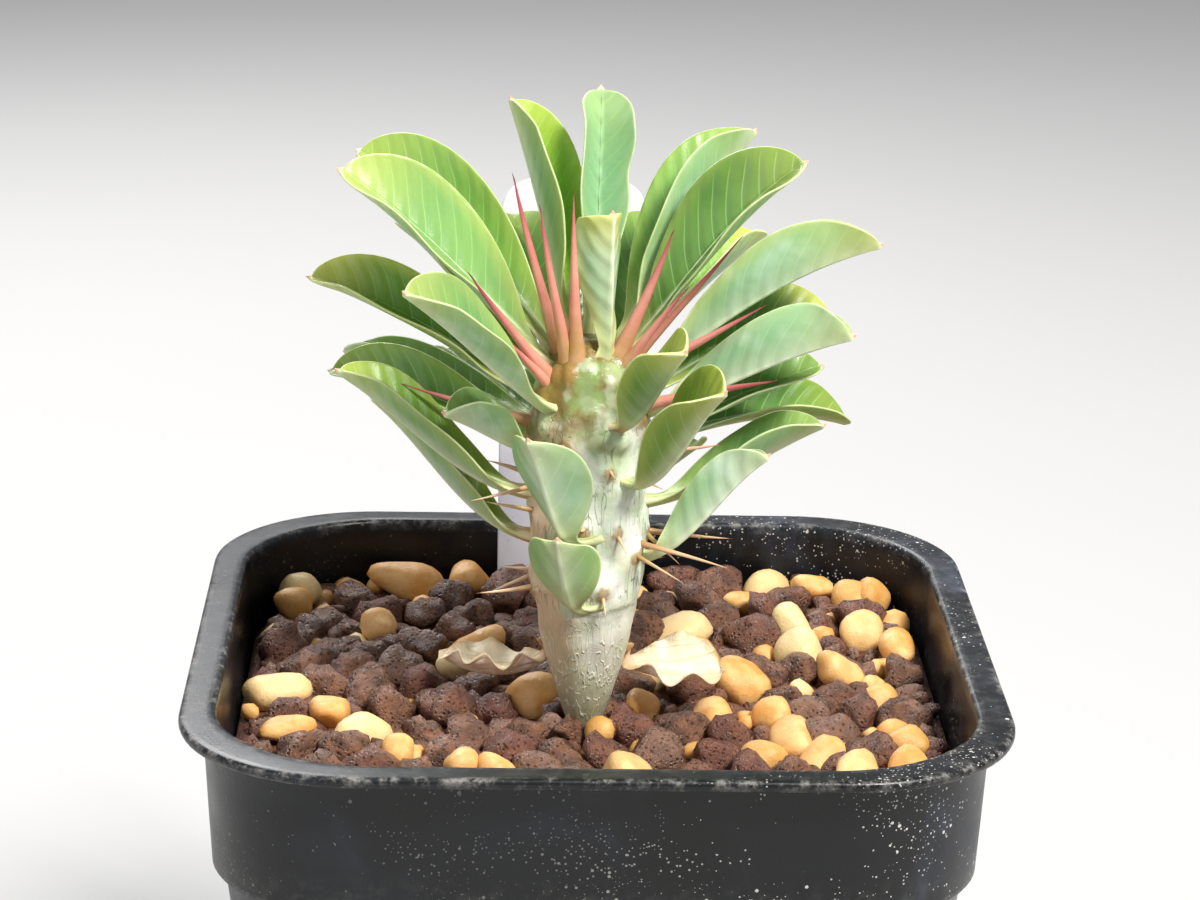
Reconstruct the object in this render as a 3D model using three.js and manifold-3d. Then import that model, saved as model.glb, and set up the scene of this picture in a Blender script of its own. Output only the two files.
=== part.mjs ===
// A young Euphorbia guillauminiana in a square nursery pot of gravelly soil, with a blank plant label.
// Millimetres, +Z up, origin at the middle of the pot's base, seen from the front along +Y.

import * as THREE from "three";
import { mergeVertices } from "three/addons/utils/BufferGeometryUtils.js";
import Module from "manifold-3d";

const wasm = await Module();
wasm.setup();

// Driving dimensions of the pot
const potWidth = 90;            // outside of the lip, both ways
const potHeight = 80;
const rimCorner = 20;           // corner radius of the lip
const lipReach = 2.4;           // how far the lip stands out from the wall
const lipThick = 1.3;
const wall = 1.5;
const shoulderHeight = 62.5;    // small inward step in the wall
const shoulderStep = 1.2;
const baseWidth = 66;
const footHeight = 2.5;
const floorThick = 1.8;
const drainRadius = 3.6;
const fit = 0.3;                // gap kept between neighbouring pieces

// Driving dimensions of the plant and the soil
const soilLevel = 72;           // top of the soil at the stem
const stemX = -1;               // where the stem stands
const stemY = -7.5;
const rootDepth = 24;           // how far the root stub goes below the soil level
const grainPitch = 5.9;        // spacing of the gravel
const bladeThick = 0.66;        // of a leaf, away from its midrib
const labelWidth = 17.6;
const labelTop = 124;           // heights along the label before it leans
const labelFoot = 56;
const labelThick = 0.8;
const labelX = -2.1;
const labelY = 37.8;            // where it meets the soil, leaning back from there
const labelLean = 2.9;          // degrees

const radians = THREE.MathUtils.degToRad;
const vec = (x, y, z) => new THREE.Vector3(x, y, z);

// One repeatable draw between 0 and 1 for each whole number
function draw(n) {
  const wave = Math.sin(n * 12.9898 + 4.1414) * 43758.5453;
  return wave - Math.floor(wave);
}

// Closed geometry to a solid for joining and cutting, and back again
function solidOf(geometry) {
  const bare = geometry.clone();
  bare.deleteAttribute("normal");
  bare.deleteAttribute("uv");
  const merged = mergeVertices(bare, 1e-4);
  const vertProperties = new Float32Array(merged.attributes.position.array);
  const triVerts = new Uint32Array(merged.index.array);
  return new wasm.Manifold(new wasm.Mesh({ numProp: 3, vertProperties, triVerts }));
}

function geometryOf(solid) {
  const mesh = solid.getMesh();
  const geometry = new THREE.BufferGeometry();
  geometry.setAttribute("position", new THREE.BufferAttribute(new Float32Array(mesh.vertProperties), 3));
  geometry.setIndex(Array.from(mesh.triVerts));
  geometry.computeVertexNormals();
  return geometry;
}

// A closed skin through loops of points, all with the same count, capped flat at both ends.
// The loops run counter-clockwise seen from the last one. cap lists the triangles of an end.
const fan = (count) => Array.from({ length: count - 2 }, (_, i) => [0, i + 1, i + 2]);

function loft(loops, cap = fan(loops[0].length)) {
  const count = loops[0].length;
  const points = loops.flat();
  const index = [];
  for (let k = 0; k + 1 < loops.length; k += 1) {
    for (let i = 0; i < count; i += 1) {
      const a = k * count + i;
      const b = k * count + (i + 1) % count;
      index.push(a, b, b + count, a, b + count, a + count);
    }
  }
  const last = (loops.length - 1) * count;
  cap.forEach(([a, b, c]) => {
    index.push(a, c, b, last + a, last + b, last + c);
  });
  const geometry = new THREE.BufferGeometry().setFromPoints(points);
  geometry.setIndex(index);
  return geometry;
}

// A square with round corners at height z, as a loop of points
function roundSquare(half, corner, z, steps = 5) {
  const loop = [];
  const middle = half - corner;
  const centres = [[middle, middle], [-middle, middle], [-middle, -middle], [middle, -middle]];
  centres.forEach(([cx, cy], quarter) => {
    for (let i = 0; i <= steps; i += 1) {
      const angle = (quarter + i / steps) * Math.PI / 2;
      loop.push(vec(cx + corner * Math.cos(angle), cy + corner * Math.sin(angle), z));
    }
  });
  return loop;
}

// Half width of the pot's outside at a height, under the lip
const wallTop = potWidth / 2 - lipReach;
const bandFoot = wallTop - 0.9;
const bodyTop = bandFoot - shoulderStep;
const bodySlope = (bodyTop - baseWidth / 2) / (shoulderHeight - footHeight);

function outsideHalf(z) {
  if (z > shoulderHeight) {
    return bandFoot + (wallTop - bandFoot) * (z - shoulderHeight) / (potHeight - shoulderHeight);
  }
  return baseWidth / 2 + bodySlope * Math.max(0, z - footHeight);
}

const cornerAt = (half) => rimCorner * half / (potWidth / 2) * 0.96;

// The pot: one thin moulded shell with a lip, a shoulder, a low foot ring and drain holes
function makePot() {
  const half = potWidth / 2;
  const ring = (halfWidth, z) => roundSquare(halfWidth, cornerAt(halfWidth), z);
  const foot = baseWidth / 2 - 1.2;
  const lipFoot = potHeight - lipThick;
  const shell = loft([
    ring(foot, 0),
    ring(foot, footHeight),
    ring(baseWidth / 2 - 0.3, footHeight),
    ring(outsideHalf(6), 6),
    ring(outsideHalf(shoulderHeight - 0.8), shoulderHeight - 0.8),
    ring(bandFoot - 0.2, shoulderHeight),
    ring(bandFoot, shoulderHeight + 0.6),
    ring(outsideHalf(lipFoot), lipFoot - 0.6),
    ring(half - 0.3, lipFoot),
    ring(half, lipFoot + lipThick * 0.5),
    ring(half - 0.45, potHeight - 0.15),
    ring(half - 1.1, potHeight),
    ring(wallTop - wall + 0.5, potHeight),
    ring(wallTop - wall, potHeight - 0.5),
  ]);
  const inside = loft([
    ring(baseWidth / 2 - wall - 0.3, footHeight + floorThick),
    ring(outsideHalf(6) - wall, 6.5),
    ring(outsideHalf(shoulderHeight - 0.8) - wall, shoulderHeight - 0.8),
    ring(bandFoot - wall, shoulderHeight + 1),
    ring(wallTop - wall + 0.02, potHeight - 0.5),
    ring(wallTop - wall + 0.02, potHeight + 5),
  ]);
  const under = loft([ring(foot - 2, -1), ring(foot - 2, footHeight)]);
  let pot = solidOf(shell).subtract(solidOf(inside)).subtract(solidOf(under));
  const holePlaces = [[0, 0], [18, 18], [-18, 18], [-18, -18], [18, -18]];
  holePlaces.forEach(([x, y]) => {
    const hole = new THREE.CylinderGeometry(drainRadius, drainRadius, 8, 12);
    hole.rotateX(Math.PI / 2);
    hole.translate(x, y, footHeight);
    pot = pot.subtract(solidOf(hole));
  });
  return geometryOf(pot);
}

// Radius of the stem at a height, without its knobs
const stemProfile = [
  [soilLevel - rootDepth, 1.2], [64, 1.8], [72, 2.2], [75, 3.2], [79, 4.4], [83, 5.4], [87, 6.0],
  [92, 6.3], [99, 6.4], [106, 6.4], [110, 6.1], [113, 5.2], [115.4, 3.8], [117, 1.6],
];

function stemRadius(z) {
  const last = stemProfile.length - 1;
  for (let i = 0; i < last; i += 1) {
    const [z0, r0] = stemProfile[i];
    const [z1, r1] = stemProfile[i + 1];
    if (z <= z1) {
      return r0 + (r1 - r0) * Math.max(0, z - z0) / (z1 - z0);
    }
  }
  return stemProfile[last][1];
}

// The leaves. az: direction round the stem, 0 to the right and 90 to the back. z: height of the base.
// rise: slope of the chord. long and wide: length and flat width. start, end: bend of the midrib at its
// two ends against the chord. fold: how far the halves fold up. roll: above 0 lifts the left half.
const leafList = [
  { az: 154, z: 113, rise: 40.5, long: 33, wide: 12, start: 12, end: -20, fold: 45, roll: -25 },
  { az: 184, z: 112.5, rise: 44, long: 33, wide: 13, start: 4, end: -8, fold: 40, roll: -32 },
  { az: 168, z: 108.5, rise: 25.5, long: 30, wide: 10.5, start: 4, end: -12, fold: 45, roll: -25 },
  { az: 218, z: 108.5, rise: 39, long: 27, wide: 11, start: -4, end: -4, fold: 45, roll: -28 },
  { az: 140, z: 109, rise: 34.5, long: 28.5, wide: 11, start: 4, end: -10, fold: 45, roll: -10 },
  { az: 130, z: 115, rise: 65, long: 28.5, wide: 11, start: 0, end: -4, fold: 62, roll: 14 },
  { az: 86, z: 115, rise: 76.5, long: 28.5, wide: 10, start: 0, end: 0, fold: 52, roll: 20 },
  { az: -60, z: 114, rise: 86, long: 17.5, wide: 9.5, start: -10, end: 0, fold: 55, roll: -4 },
  { az: 92, z: 91, rise: 22, long: 22, wide: 9, start: -20, end: -6, fold: 40, roll: 0 },
  { az: 28, z: 114, rise: 54, long: 29.5, wide: 12, start: 6, end: -12, fold: 58, roll: -12 },
  { az: -6, z: 113.5, rise: 50.5, long: 30.5, wide: 13, start: 4, end: -12, fold: 40, roll: 32 },
  { az: 0, z: 111.5, rise: 30.5, long: 31.5, wide: 12, start: 4, end: -16, fold: 60, roll: -15 },
  { az: 44, z: 111, rise: 28.5, long: 26.5, wide: 11, start: 10, end: -10, fold: 50, roll: 0 },
  { az: 20, z: 108.5, rise: 18.5, long: 25.5, wide: 10.5, start: 10, end: -22, fold: 40, roll: 26 },
  { az: -14, z: 108, rise: 24.5, long: 26.5, wide: 11, start: -4, end: -8, fold: 58, roll: -24 },
  { az: 6, z: 104.5, rise: 22, long: 22.5, wide: 9, start: 0, end: -4, fold: 35, roll: 20 },
  { az: 27, z: 103.5, rise: -1, long: 28.5, wide: 9.5, start: 9, end: -20, fold: 42, roll: 16 },
  { az: 5, z: 97.5, rise: 22.5, long: 23, wide: 9, start: -18, end: 0, fold: 45, roll: 0 },
  { az: -16, z: 91.5, rise: 41, long: 20.5, wide: 8, start: -30, end: -4, fold: 60, roll: -20 },
  { az: 50, z: 97, rise: 11, long: 16, wide: 8, start: -6, end: 0, fold: 45, roll: 0 },
  { az: -48, z: 101.5, rise: 40, long: 21.5, wide: 12, start: -46, end: 0, fold: 42, roll: 10 },
  { az: -60, z: 107.5, rise: 40, long: 19.5, wide: 9.5, start: -24, end: 0, fold: 42, roll: 12 },
  { az: -126, z: 95.5, rise: 60, long: 14, wide: 11, start: -82, end: 0, fold: 25, roll: 0 },
  { az: -112, z: 87.5, rise: 60, long: 10, wide: 8.4, start: -88, end: 14, fold: 12, roll: 0 },
  { az: 198, z: 104, rise: 24, long: 13, wide: 9.5, start: -14, end: -4, fold: 50, roll: 0 },
  { az: 158, z: 103, rise: 13.5, long: 27, wide: 9.5, start: 4, end: -12, fold: 45, roll: -25 },
  { az: 182, z: 98.5, rise: 32, long: 27, wide: 9.5, start: -26, end: 0, fold: 42, roll: -5 },
  { az: 142, z: 105, rise: 7, long: 30.5, wide: 7.5, start: 5, end: -8, fold: 50, roll: 0 },
  { az: 168, z: 93, rise: 37, long: 25, wide: 8.5, start: -34, end: 0, fold: 45, roll: 0 },
  { az: 126, z: 104, rise: 7, long: 25.5, wide: 9, start: 4, end: -10, fold: 50, roll: 0 },
  { az: 70, z: 109, rise: 34, long: 27, wide: 11, start: 4, end: -16, fold: 45, roll: 0 },
  { az: 112, z: 109, rise: 40, long: 25, wide: 10, start: 4, end: -16, fold: 45, roll: 0 },
  { az: 92, z: 103, rise: 26, long: 28, wide: 12, start: 0, end: -16, fold: 42, roll: 0 },
  { az: 78, z: 98, rise: 12, long: 25, wide: 9, start: -8, end: -12, fold: 42, roll: 0 },
  { az: 114, z: 98, rise: 16, long: 24, wide: 10, start: -12, end: -8, fold: 42, roll: 0 },
];

// The spines. az and z: where each stands on the stem. rise: slope. long: length. thick: base diameter.
const spineList = [
  { az: 172, z: 114.5, rise: 72, long: 21, thick: 1.2 },
  { az: -156, z: 114.6, rise: 71, long: 18, thick: 1.2 },
  { az: -118, z: 115, rise: 82, long: 16, thick: 1.3 },
  { az: 207, z: 112.3, rise: 49, long: 17.5, thick: 1.2 },
  { az: -150, z: 111.5, rise: 46, long: 11, thick: 1.1 },
  { az: -22, z: 115, rise: 64, long: 16, thick: 1.4 },
  { az: -30, z: 113.5, rise: 56, long: 13, thick: 1.1 },
  { az: 12, z: 113.5, rise: 46, long: 19, thick: 1.1 },
  { az: -24, z: 112.5, rise: 33, long: 18.5, thick: 1.3 },
  { az: -26, z: 109.5, rise: 20, long: 18, thick: 1.2 },
  { az: 178, z: 107, rise: 14, long: 16, thick: 1.1 },
  { az: -156, z: 101, rise: -8, long: 9, thick: 0.6 },
  { az: 168, z: 98.6, rise: 9, long: 10, thick: 0.5 },
  { az: -160, z: 97.6, rise: 12, long: 7, thick: 0.6 },
  { az: -115, z: 107, rise: -20, long: 4, thick: 0.7 },
  { az: 179, z: 90, rise: -24, long: 7, thick: 0.5 },
  { az: -160, z: 89, rise: -4, long: 8, thick: 0.6 },
  { az: -2, z: 104, rise: 4, long: 9.5, thick: 0.7 },
  { az: -34, z: 103, rise: -26, long: 4.5, thick: 0.6 },
  { az: -6, z: 96, rise: -42, long: 7, thick: 0.6 },
  { az: 4, z: 95, rise: -9, long: 11, thick: 0.6 },
  { az: -28, z: 94.4, rise: -4, long: 12.5, thick: 0.6 },
  { az: -36, z: 93.6, rise: -16, long: 8, thick: 0.5 },
  { az: -72, z: 104, rise: -10, long: 3, thick: 0.7 },
  { az: -95, z: 97, rise: 0, long: 3, thick: 0.7 },
  { az: -62, z: 97, rise: -30, long: 4, thick: 0.6 },
  { az: -75, z: 90, rise: -35, long: 4, thick: 0.6 },
  { az: 74, z: 114, rise: 60, long: 16, thick: 1.2 },
  { az: 112, z: 114, rise: 55, long: 17, thick: 1.2 },
  { az: 46, z: 112.8, rise: 50, long: 16, thick: 1.1 },
  { az: 140, z: 112.5, rise: 50, long: 15, thick: 1.1 },
  { az: 90, z: 111, rise: 38, long: 15, thick: 1.1 },
  { az: 56, z: 105, rise: 8, long: 11, thick: 0.8 },
  { az: 134, z: 99, rise: 4, long: 11, thick: 0.8 },
  { az: 93, z: 97, rise: 0, long: 9, thick: 0.6 },
  { az: 50, z: 90, rise: -12, long: 9, thick: 0.6 },
  { az: 140, z: 89, rise: -10, long: 8, thick: 0.6 },
  { az: 90, z: 86, rise: -15, long: 7, thick: 0.6 },
];

// Two withered leaves, limp against the gravel
const driedList = [
  { az: 162, z: 82, rise: -17, long: 14, wide: 8, start: -70, end: 52, fold: 38, roll: 0 },
  { az: 9, z: 81.5, rise: -20, long: 13, wide: 10, start: -62, end: 22, fold: 22, roll: 20 },
];

const leafSteps = [0, 0.1, 0.24, 0.42, 0.6, 0.78, 0.92, 1];
const petioleHalf = 0.8;
const tipHalf = 0.7;
const ridge = 0.35;
const bellyShare = 0.07;        // how far a half bulges outwards, against its half width
const stalkLong = 2.6;          // least length of the bare stalk
const rootInset = 1.2;          // how deep a leaf stalk sits in the stem
const socketPlay = 0.68;        // radius of a stalk's socket over half the stalk's width

const outward = (az) => vec(Math.cos(radians(az)), Math.sin(radians(az)), 0);
const onStem = (az, z, inset) => vec(stemX, stemY, z).addScaledVector(outward(az), stemRadius(z) - inset);
const smooth = (t, from, to) => THREE.MathUtils.smoothstep(t, from, to);

function sloped(az, rise) {
  const flat = Math.cos(radians(rise));
  return outward(az).multiplyScalar(flat).setZ(Math.sin(radians(rise)));
}

// A midrib runs on a cubic curve in the upright plane of its direction
function midribOf(leaf) {
  const base = onStem(leaf.az, leaf.z, rootInset);
  const tip = base.clone().addScaledVector(sloped(leaf.az, leaf.rise), leaf.long);
  const hold = leaf.long * 0.36;
  return new THREE.CubicBezierCurve3(
    base,
    base.clone().addScaledVector(sloped(leaf.az, leaf.rise + leaf.start), hold),
    tip.clone().addScaledVector(sloped(leaf.az, leaf.rise + leaf.end), -hold),
    tip,
  );
}

// Half width of the flat blade: a thin stalk, widest past the middle, a blunt point
function bladeHalf(leaf, t) {
  const widest = 0.64;
  const stalk = Math.max(0.1, stalkLong / leaf.long);
  const u = THREE.MathUtils.clamp((t - stalk) / (1 - stalk), 0, 1);
  const swell = Math.pow(u / widest, 1.25) * Math.pow((1 - u) / (1 - widest), 0.7);
  const least = THREE.MathUtils.lerp(petioleHalf, tipHalf, smooth(t, 0.6, 1));
  return least + (leaf.wide / 2 - least) * swell;
}

// Fold of the halves, flatter at both ends, where the blade is narrow
function foldAt(leaf, t) {
  const ends = Math.min(leaf.fold, 16);
  return ends + (leaf.fold - ends) * smooth(t, 0.05, 0.4) * (1 - smooth(t, 0.85, 1));
}

// One folded leaf: a V in section, thickest along the midrib
const foldedCap = [
  [0, 1, 4], [0, 4, 5], [1, 2, 3], [1, 3, 4], [0, 5, 6], [0, 6, 9], [6, 7, 9], [7, 8, 9],
];

function makeLeaf(leaf) {
  const curve = midribOf(leaf);
  const side = vec(0, 0, 1).cross(outward(leaf.az));
  const loops = leafSteps.map((t) => {
    const point = curve.getPoint(t);
    const up = curve.getTangent(t).cross(side);
    const fold = radians(foldAt(leaf, t));
    const roll = radians(leaf.roll) * smooth(t, 0, 0.3);
    const half = bladeHalf(leaf, t);
    const thick = Math.min(bladeThick * (1.4 - 0.4 * smooth(t, 0.05, 0.3)), 0.88 * half);
    const at = (b, n) => point.clone().addScaledVector(side, b).addScaledVector(up, n);
    const [left, right] = [1, -1].map((hand) => {
      const angle = fold + hand * roll;
      const [run, climb] = [Math.cos(angle), Math.sin(angle)];
      return { line: [hand * run, climb], face: [hand * climb, -run] };
    });
    const sum = [left.face[0] + right.face[0], left.face[1] + right.face[1]];
    const meet = 1 + left.face[0] * right.face[0] + left.face[1] * right.face[1];
    const size = Math.hypot(...sum);
    const onHalf = (h, share, depth) => at(
      half * share * h.line[0] - depth * h.face[0],
      half * share * h.line[1] - depth * h.face[1],
    );
    const belly = -bellyShare * (half - tipHalf);
    const keel = at(ridge * sum[0] / size, ridge * sum[1] / size);
    const groove = at(-thick * sum[0] / meet, -thick * sum[1] / meet);
    return [
      keel, onHalf(left, 0.55, belly), onHalf(left, 1, 0), onHalf(left, 1, thick),
      onHalf(left, 0.55, belly + thick), groove, onHalf(right, 0.55, belly + thick),
      onHalf(right, 1, thick), onHalf(right, 1, 0), onHalf(right, 0.55, belly),
    ];
  });
  return loft(loops, foldedCap);
}

// A prism or cone between two points
function rod(from, to, radiusFrom, radiusTo, sides) {
  const along = to.clone().sub(from);
  const shape = new THREE.CylinderGeometry(radiusTo, radiusFrom, along.length(), sides);
  shape.translate(0, along.length() / 2, 0);
  shape.applyQuaternion(new THREE.Quaternion().setFromUnitVectors(vec(0, 1, 0), along.normalize()));
  shape.translate(from.x, from.y, from.z);
  return shape;
}

// A spine in two stretches, its root sunk in the stem
function makeSpine(spine) {
  const root = onStem(spine.az, spine.z, 1.2);
  const aim = sloped(spine.az, spine.rise);
  const middle = root.clone().addScaledVector(aim, spine.long * 0.55);
  const tip = root.clone().addScaledVector(aim, spine.long).add(vec(0, 0, -0.05 * spine.long));
  const sides = 4;
  const radii = [spine.thick / 2, spine.thick * 0.33, 0.07];
  const loops = [root, middle, tip].map((point, k) => {
    const along = k === 2 ? tip.clone().sub(middle) : aim;
    const turn = new THREE.Quaternion().setFromUnitVectors(vec(0, 0, 1), along.clone().normalize());
    return Array.from({ length: sides }, (_, i) => {
      const angle = i / sides * 2 * Math.PI;
      const spoke = vec(radii[k] * Math.cos(angle), radii[k] * Math.sin(angle), 0);
      return spoke.applyQuaternion(turn).add(point);
    });
  });
  return loft(loops);
}

// The stem: a knobby trunk, narrow at the foot, with a raised pad under each leaf and spine
function makeStem() {
  const columns = 19;
  const levels = [stemProfile[0][0], 64, 72, 75, 78, 80.5, 83, 85.5, 88, 90.5, 93, 95.5, 98, 100.5, 103,
    105.5, 108, 110.5, 112.8, 115, 117];
  const stalks = [...leafList, ...driedList];
  const pads = [...stalks, ...spineList];
  const padReach = 1.9;
  const socketRadius = petioleHalf + socketPlay;
  const loops = levels.map((z) => Array.from({ length: columns }, (_, i) => {
    const az = i / columns * 360;
    const plain = stemRadius(z);
    let lift = 0;
    pads.forEach((pad) => {
      const turn = radians(THREE.MathUtils.euclideanModulo(az - pad.az + 180, 360) - 180) * plain;
      const fall = (z - pad.z + 0.8) * 0.9;
      const near = Math.exp(-(turn * turn + fall * fall) / (padReach * padReach));
      lift = Math.max(lift, near);
    });
    const radius = plain - 0.25 + 0.75 * lift * smooth(z, 78, 86);
    return vec(stemX, stemY, z).addScaledVector(outward(az), radius);
  }));
  let stem = solidOf(loft(loops));
  spineList.forEach((spine) => {
    stem = stem.add(solidOf(makeSpine(spine)));
  });
  stalks.forEach((leaf) => {
    const curve = midribOf(leaf);
    const along = curve.getTangent(0);
    const bottom = curve.getPoint(0).addScaledVector(along, -fit);
    const mouth = curve.getPoint(0).addScaledVector(along, rootInset + 2.2);
    stem = stem.subtract(solidOf(rod(bottom, mouth, socketRadius, socketRadius, 6)));
  });
  return geometryOf(stem.decompose().sort((a, b) => b.volume() - a.volume())[0]);
}

// Larger ochre stones, laid by hand: place, length, width and turn
const stoneList = [
  [-36.5, -1, 7, 5, 10], [-34.5, -11, 6.5, 3.5, 25], [-30, -6, 5.5, 4, 60], [-6.5, -1, 6, 5.5, 0],
  [17.3, 3.5, 5.4, 6, 80], [13, 10.5, 5, 4.5, 20], [5.5, -4, 4.2, 4.2, 0], [11.5, 19.5, 8, 4, 20],
  [19, 29, 5.5, 3.5, 10], [25, 12.5, 5.5, 5.5, 0], [29, 7, 5.5, 4.5, 0], [24.5, 21.5, 4.5, 4.5, 30],
  [33, 20, 6, 4.5, 50], [36.5, 32, 5, 4.5, 0], [38.2, 14, 4, 6, 0], [35, -13.5, 4.5, 4, 0],
  [-14.5, -21, 4.6, 4.2, 40], [-11, -22, 4, 3.6, 0], [-37.5, 33, 4.6, 4.6, 0], [-35.5, 27, 4.5, 5, 0],
  [-21.5, 36.5, 9, 5.2, -15], [-14.5, 36, 5, 5.5, 40], [-25, 19, 4.5, 4.5, 0], [-21.5, -17.5, 3.4, 3.4, 0],
  [-15.8, 8, 4, 4, 0], [20.5, -6.5, 4.4, 3.6, 0], [28, 34, 4.5, 4, 0], [32.5, 30.5, 4.2, 4.2, 0],
];

// One rough lump of gravel with few faces
function makeGrain({ x, y, z, length, width, height, turn, seed }) {
  const lump = new THREE.IcosahedronGeometry(0.5, 0);
  const corners = new THREE.BufferGeometry().setAttribute("position", lump.attributes.position);
  const bare = mergeVertices(corners, 1e-4);
  const place = bare.attributes.position;
  for (let i = 0; i < place.count; i += 1) {
    const swell = 0.86 + 0.3 * draw(seed * 17 + i);
    const [px, py, pz] = [place.getX(i), place.getY(i), place.getZ(i)];
    place.setXYZ(i, px * swell * length, py * swell * width, pz * swell * height);
  }
  bare.rotateX((draw(seed + 0.3) - 0.5) * 1.2);
  bare.rotateY((draw(seed + 0.6) - 0.5) * 1.2);
  bare.rotateZ(turn);
  bare.translate(x, y, z);
  return bare;
}

// A place moved in until a lump of that half size clears the pot's wall
function keepInside(x, y, half) {
  const clear = 0.75;
  const limit = wallTop - wall - clear - half;
  const corner = 23.3;
  const round = 17;
  const inX = THREE.MathUtils.clamp(x, -limit, limit);
  const inY = THREE.MathUtils.clamp(y, -limit, limit);
  const overX = Math.max(0, Math.abs(inX) - corner);
  const overY = Math.max(0, Math.abs(inY) - corner);
  const over = Math.hypot(overX, overY);
  const pull = over + half > round ? (round - half) / over : 1;
  return [inX + Math.sign(inX) * overX * (pull - 1), inY + Math.sign(inY) * overY * (pull - 1)];
}

// The gravel lies a little higher towards the back
const soilRise = 0.035;
const soilAt = (y) => soilLevel + soilRise * (y - stemY);

// Where each grain lies: the ochre stones first, then a jittered grid round them
function grainPlaces() {
  const grains = stoneList.map(([wantX, wantY, length, width, turn], i) => {
    const [x, y] = keepInside(wantX, wantY, Math.max(length, width) * 0.58);
    const height = Math.min(length, width);
    return { x, y, z: soilAt(y) + 0.4, length, width, height, turn: radians(turn), seed: 900 + i };
  });
  const reach = wallTop - wall - 1.2;
  const count = Math.floor(2 * reach / grainPitch);
  const jitter = 1.8;
  const leastSize = 4.9;
  for (let row = 0; row <= count; row += 1) {
    for (let column = 0; column <= count; column += 1) {
      const seed = row * 100 + column;
      const x = -reach + (column + 0.5 * (row % 2)) * grainPitch + (draw(seed) - 0.5) * jitter;
      const y = -reach + row * grainPitch + (draw(seed + 0.5) - 0.5) * jitter;
      const size = leastSize + 2 * draw(seed + 0.7);
      const crowded = stoneList.some(([stoneX, stoneY, length, width]) => {
        const away = Math.hypot(x - stoneX, y - stoneY);
        return away < (length + width) * 0.28 + 1.2;
      });
      const [inX, inY] = keepInside(x, y, size * 0.6);
      if (crowded || Math.hypot(x - inX, y - inY) > 1.2) {
        continue;
      }
      const z = soilAt(y) - 0.5 + 1.4 * (draw(seed + 0.9) - 0.5);
      const turn = draw(seed) * 6;
      grains.push({ x: inX, y: inY, z, length: size, width: size * 0.88, height: size * 0.85, turn, seed });
    }
  }
  return grains;
}

// The label and its slot lean back a little, turning where the label meets the soil
function leanBack(geometry) {
  geometry.translate(0, 0, -soilLevel);
  geometry.rotateX(radians(-labelLean));
  geometry.translate(labelX, labelY, soilLevel);
}

// The soil: it fills the pot, with gravel standing out of its top, a plain hole for the stem and a slot
function makeSoil() {
  const ring = (half, z) => roundSquare(half - fit, cornerAt(half), z);
  const bed = loft([
    ring(baseWidth / 2 - wall - 0.3, footHeight + floorThick + fit),
    ring(outsideHalf(7) - wall, 7.5),
    ring(outsideHalf(shoulderHeight - 0.8) - wall, shoulderHeight - 0.4),
    ring(bandFoot - wall, shoulderHeight + 1.6),
    ring(bandFoot - wall + 0.2, soilLevel - 0.6).map((p) => p.setZ(soilAt(p.y) - 0.6)),
  ]);
  let soil = solidOf(bed);
  grainPlaces().forEach((grain) => {
    soil = soil.add(solidOf(makeGrain(grain)));
  });
  const sides = 16;
  const hole = loft(stemProfile.slice(0, 5).map(([z, radius], k) => {
    const middle = vec(stemX, stemY, k === 0 ? z - fit : z);
    const spoke = (i) => outward(i / sides * 360).multiplyScalar(radius + 1.5 * fit);
    return Array.from({ length: sides }, (_, i) => middle.clone().add(spoke(i)));
  }));
  const slotHeight = 40;
  const slot = new THREE.BoxGeometry(labelWidth + 2 * fit, labelThick + 2 * fit, slotHeight);
  slot.translate(0, 0, labelFoot - fit + slotHeight / 2);
  leanBack(slot);
  return geometryOf(soil.subtract(solidOf(hole)).subtract(solidOf(slot)));
}

// The label: a thin stick-in plate with round top corners and a pointed foot
function makeLabel() {
  const outline = new THREE.Shape();
  const half = labelWidth / 2;
  const round = 4;
  outline.moveTo(-2, labelFoot);
  outline.lineTo(2, labelFoot);
  outline.lineTo(half, labelFoot + 14);
  outline.lineTo(half, labelTop - round);
  outline.absarc(half - round, labelTop - round, round, 0, Math.PI / 2);
  outline.absarc(round - half, labelTop - round, round, Math.PI / 2, Math.PI);
  outline.lineTo(-half, labelFoot + 14);
  outline.closePath();
  const settings = { depth: labelThick, bevelEnabled: false, curveSegments: 4 };
  const plate = new THREE.ExtrudeGeometry(outline, settings);
  plate.rotateX(Math.PI / 2);
  plate.translate(0, labelThick / 2, 0);
  leanBack(plate);
  return plate;
}

const leafGreen = 0x7fae5a;
const plant = new THREE.Group();

function add(name, geometry, colour, roughness = 0.6) {
  const material = new THREE.MeshStandardMaterial({ color: colour, roughness, metalness: 0 });
  const mesh = new THREE.Mesh(geometry, material);
  mesh.name = name;
  plant.add(mesh);
}

add("pot", makePot(), 0x17181b, 0.45);
add("soil", makeSoil(), 0x6b4a34, 0.9);
add("plant_label", makeLabel(), 0xe8e9ee, 0.5);
add("stem", makeStem(), 0xb9bd98, 0.7);
leafList.forEach((leaf, i) => {
  add(`leaf_${String(i + 1).padStart(2, "0")}`, makeLeaf(leaf), leafGreen);
});

driedList.forEach((leaf, i) => {
  add(`dried_leaf_${i + 1}`, makeLeaf(leaf), 0xe6d8bd, 0.9);
});

export default plant;
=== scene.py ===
# A young Euphorbia guillauminiana in a square nursery pot of gravelly soil.
# All sizes below are in millimetres in the CAD frame; meshes are written in metres.

import math

import bmesh
import bpy
import numpy as np
from mathutils import Matrix, Vector


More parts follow.
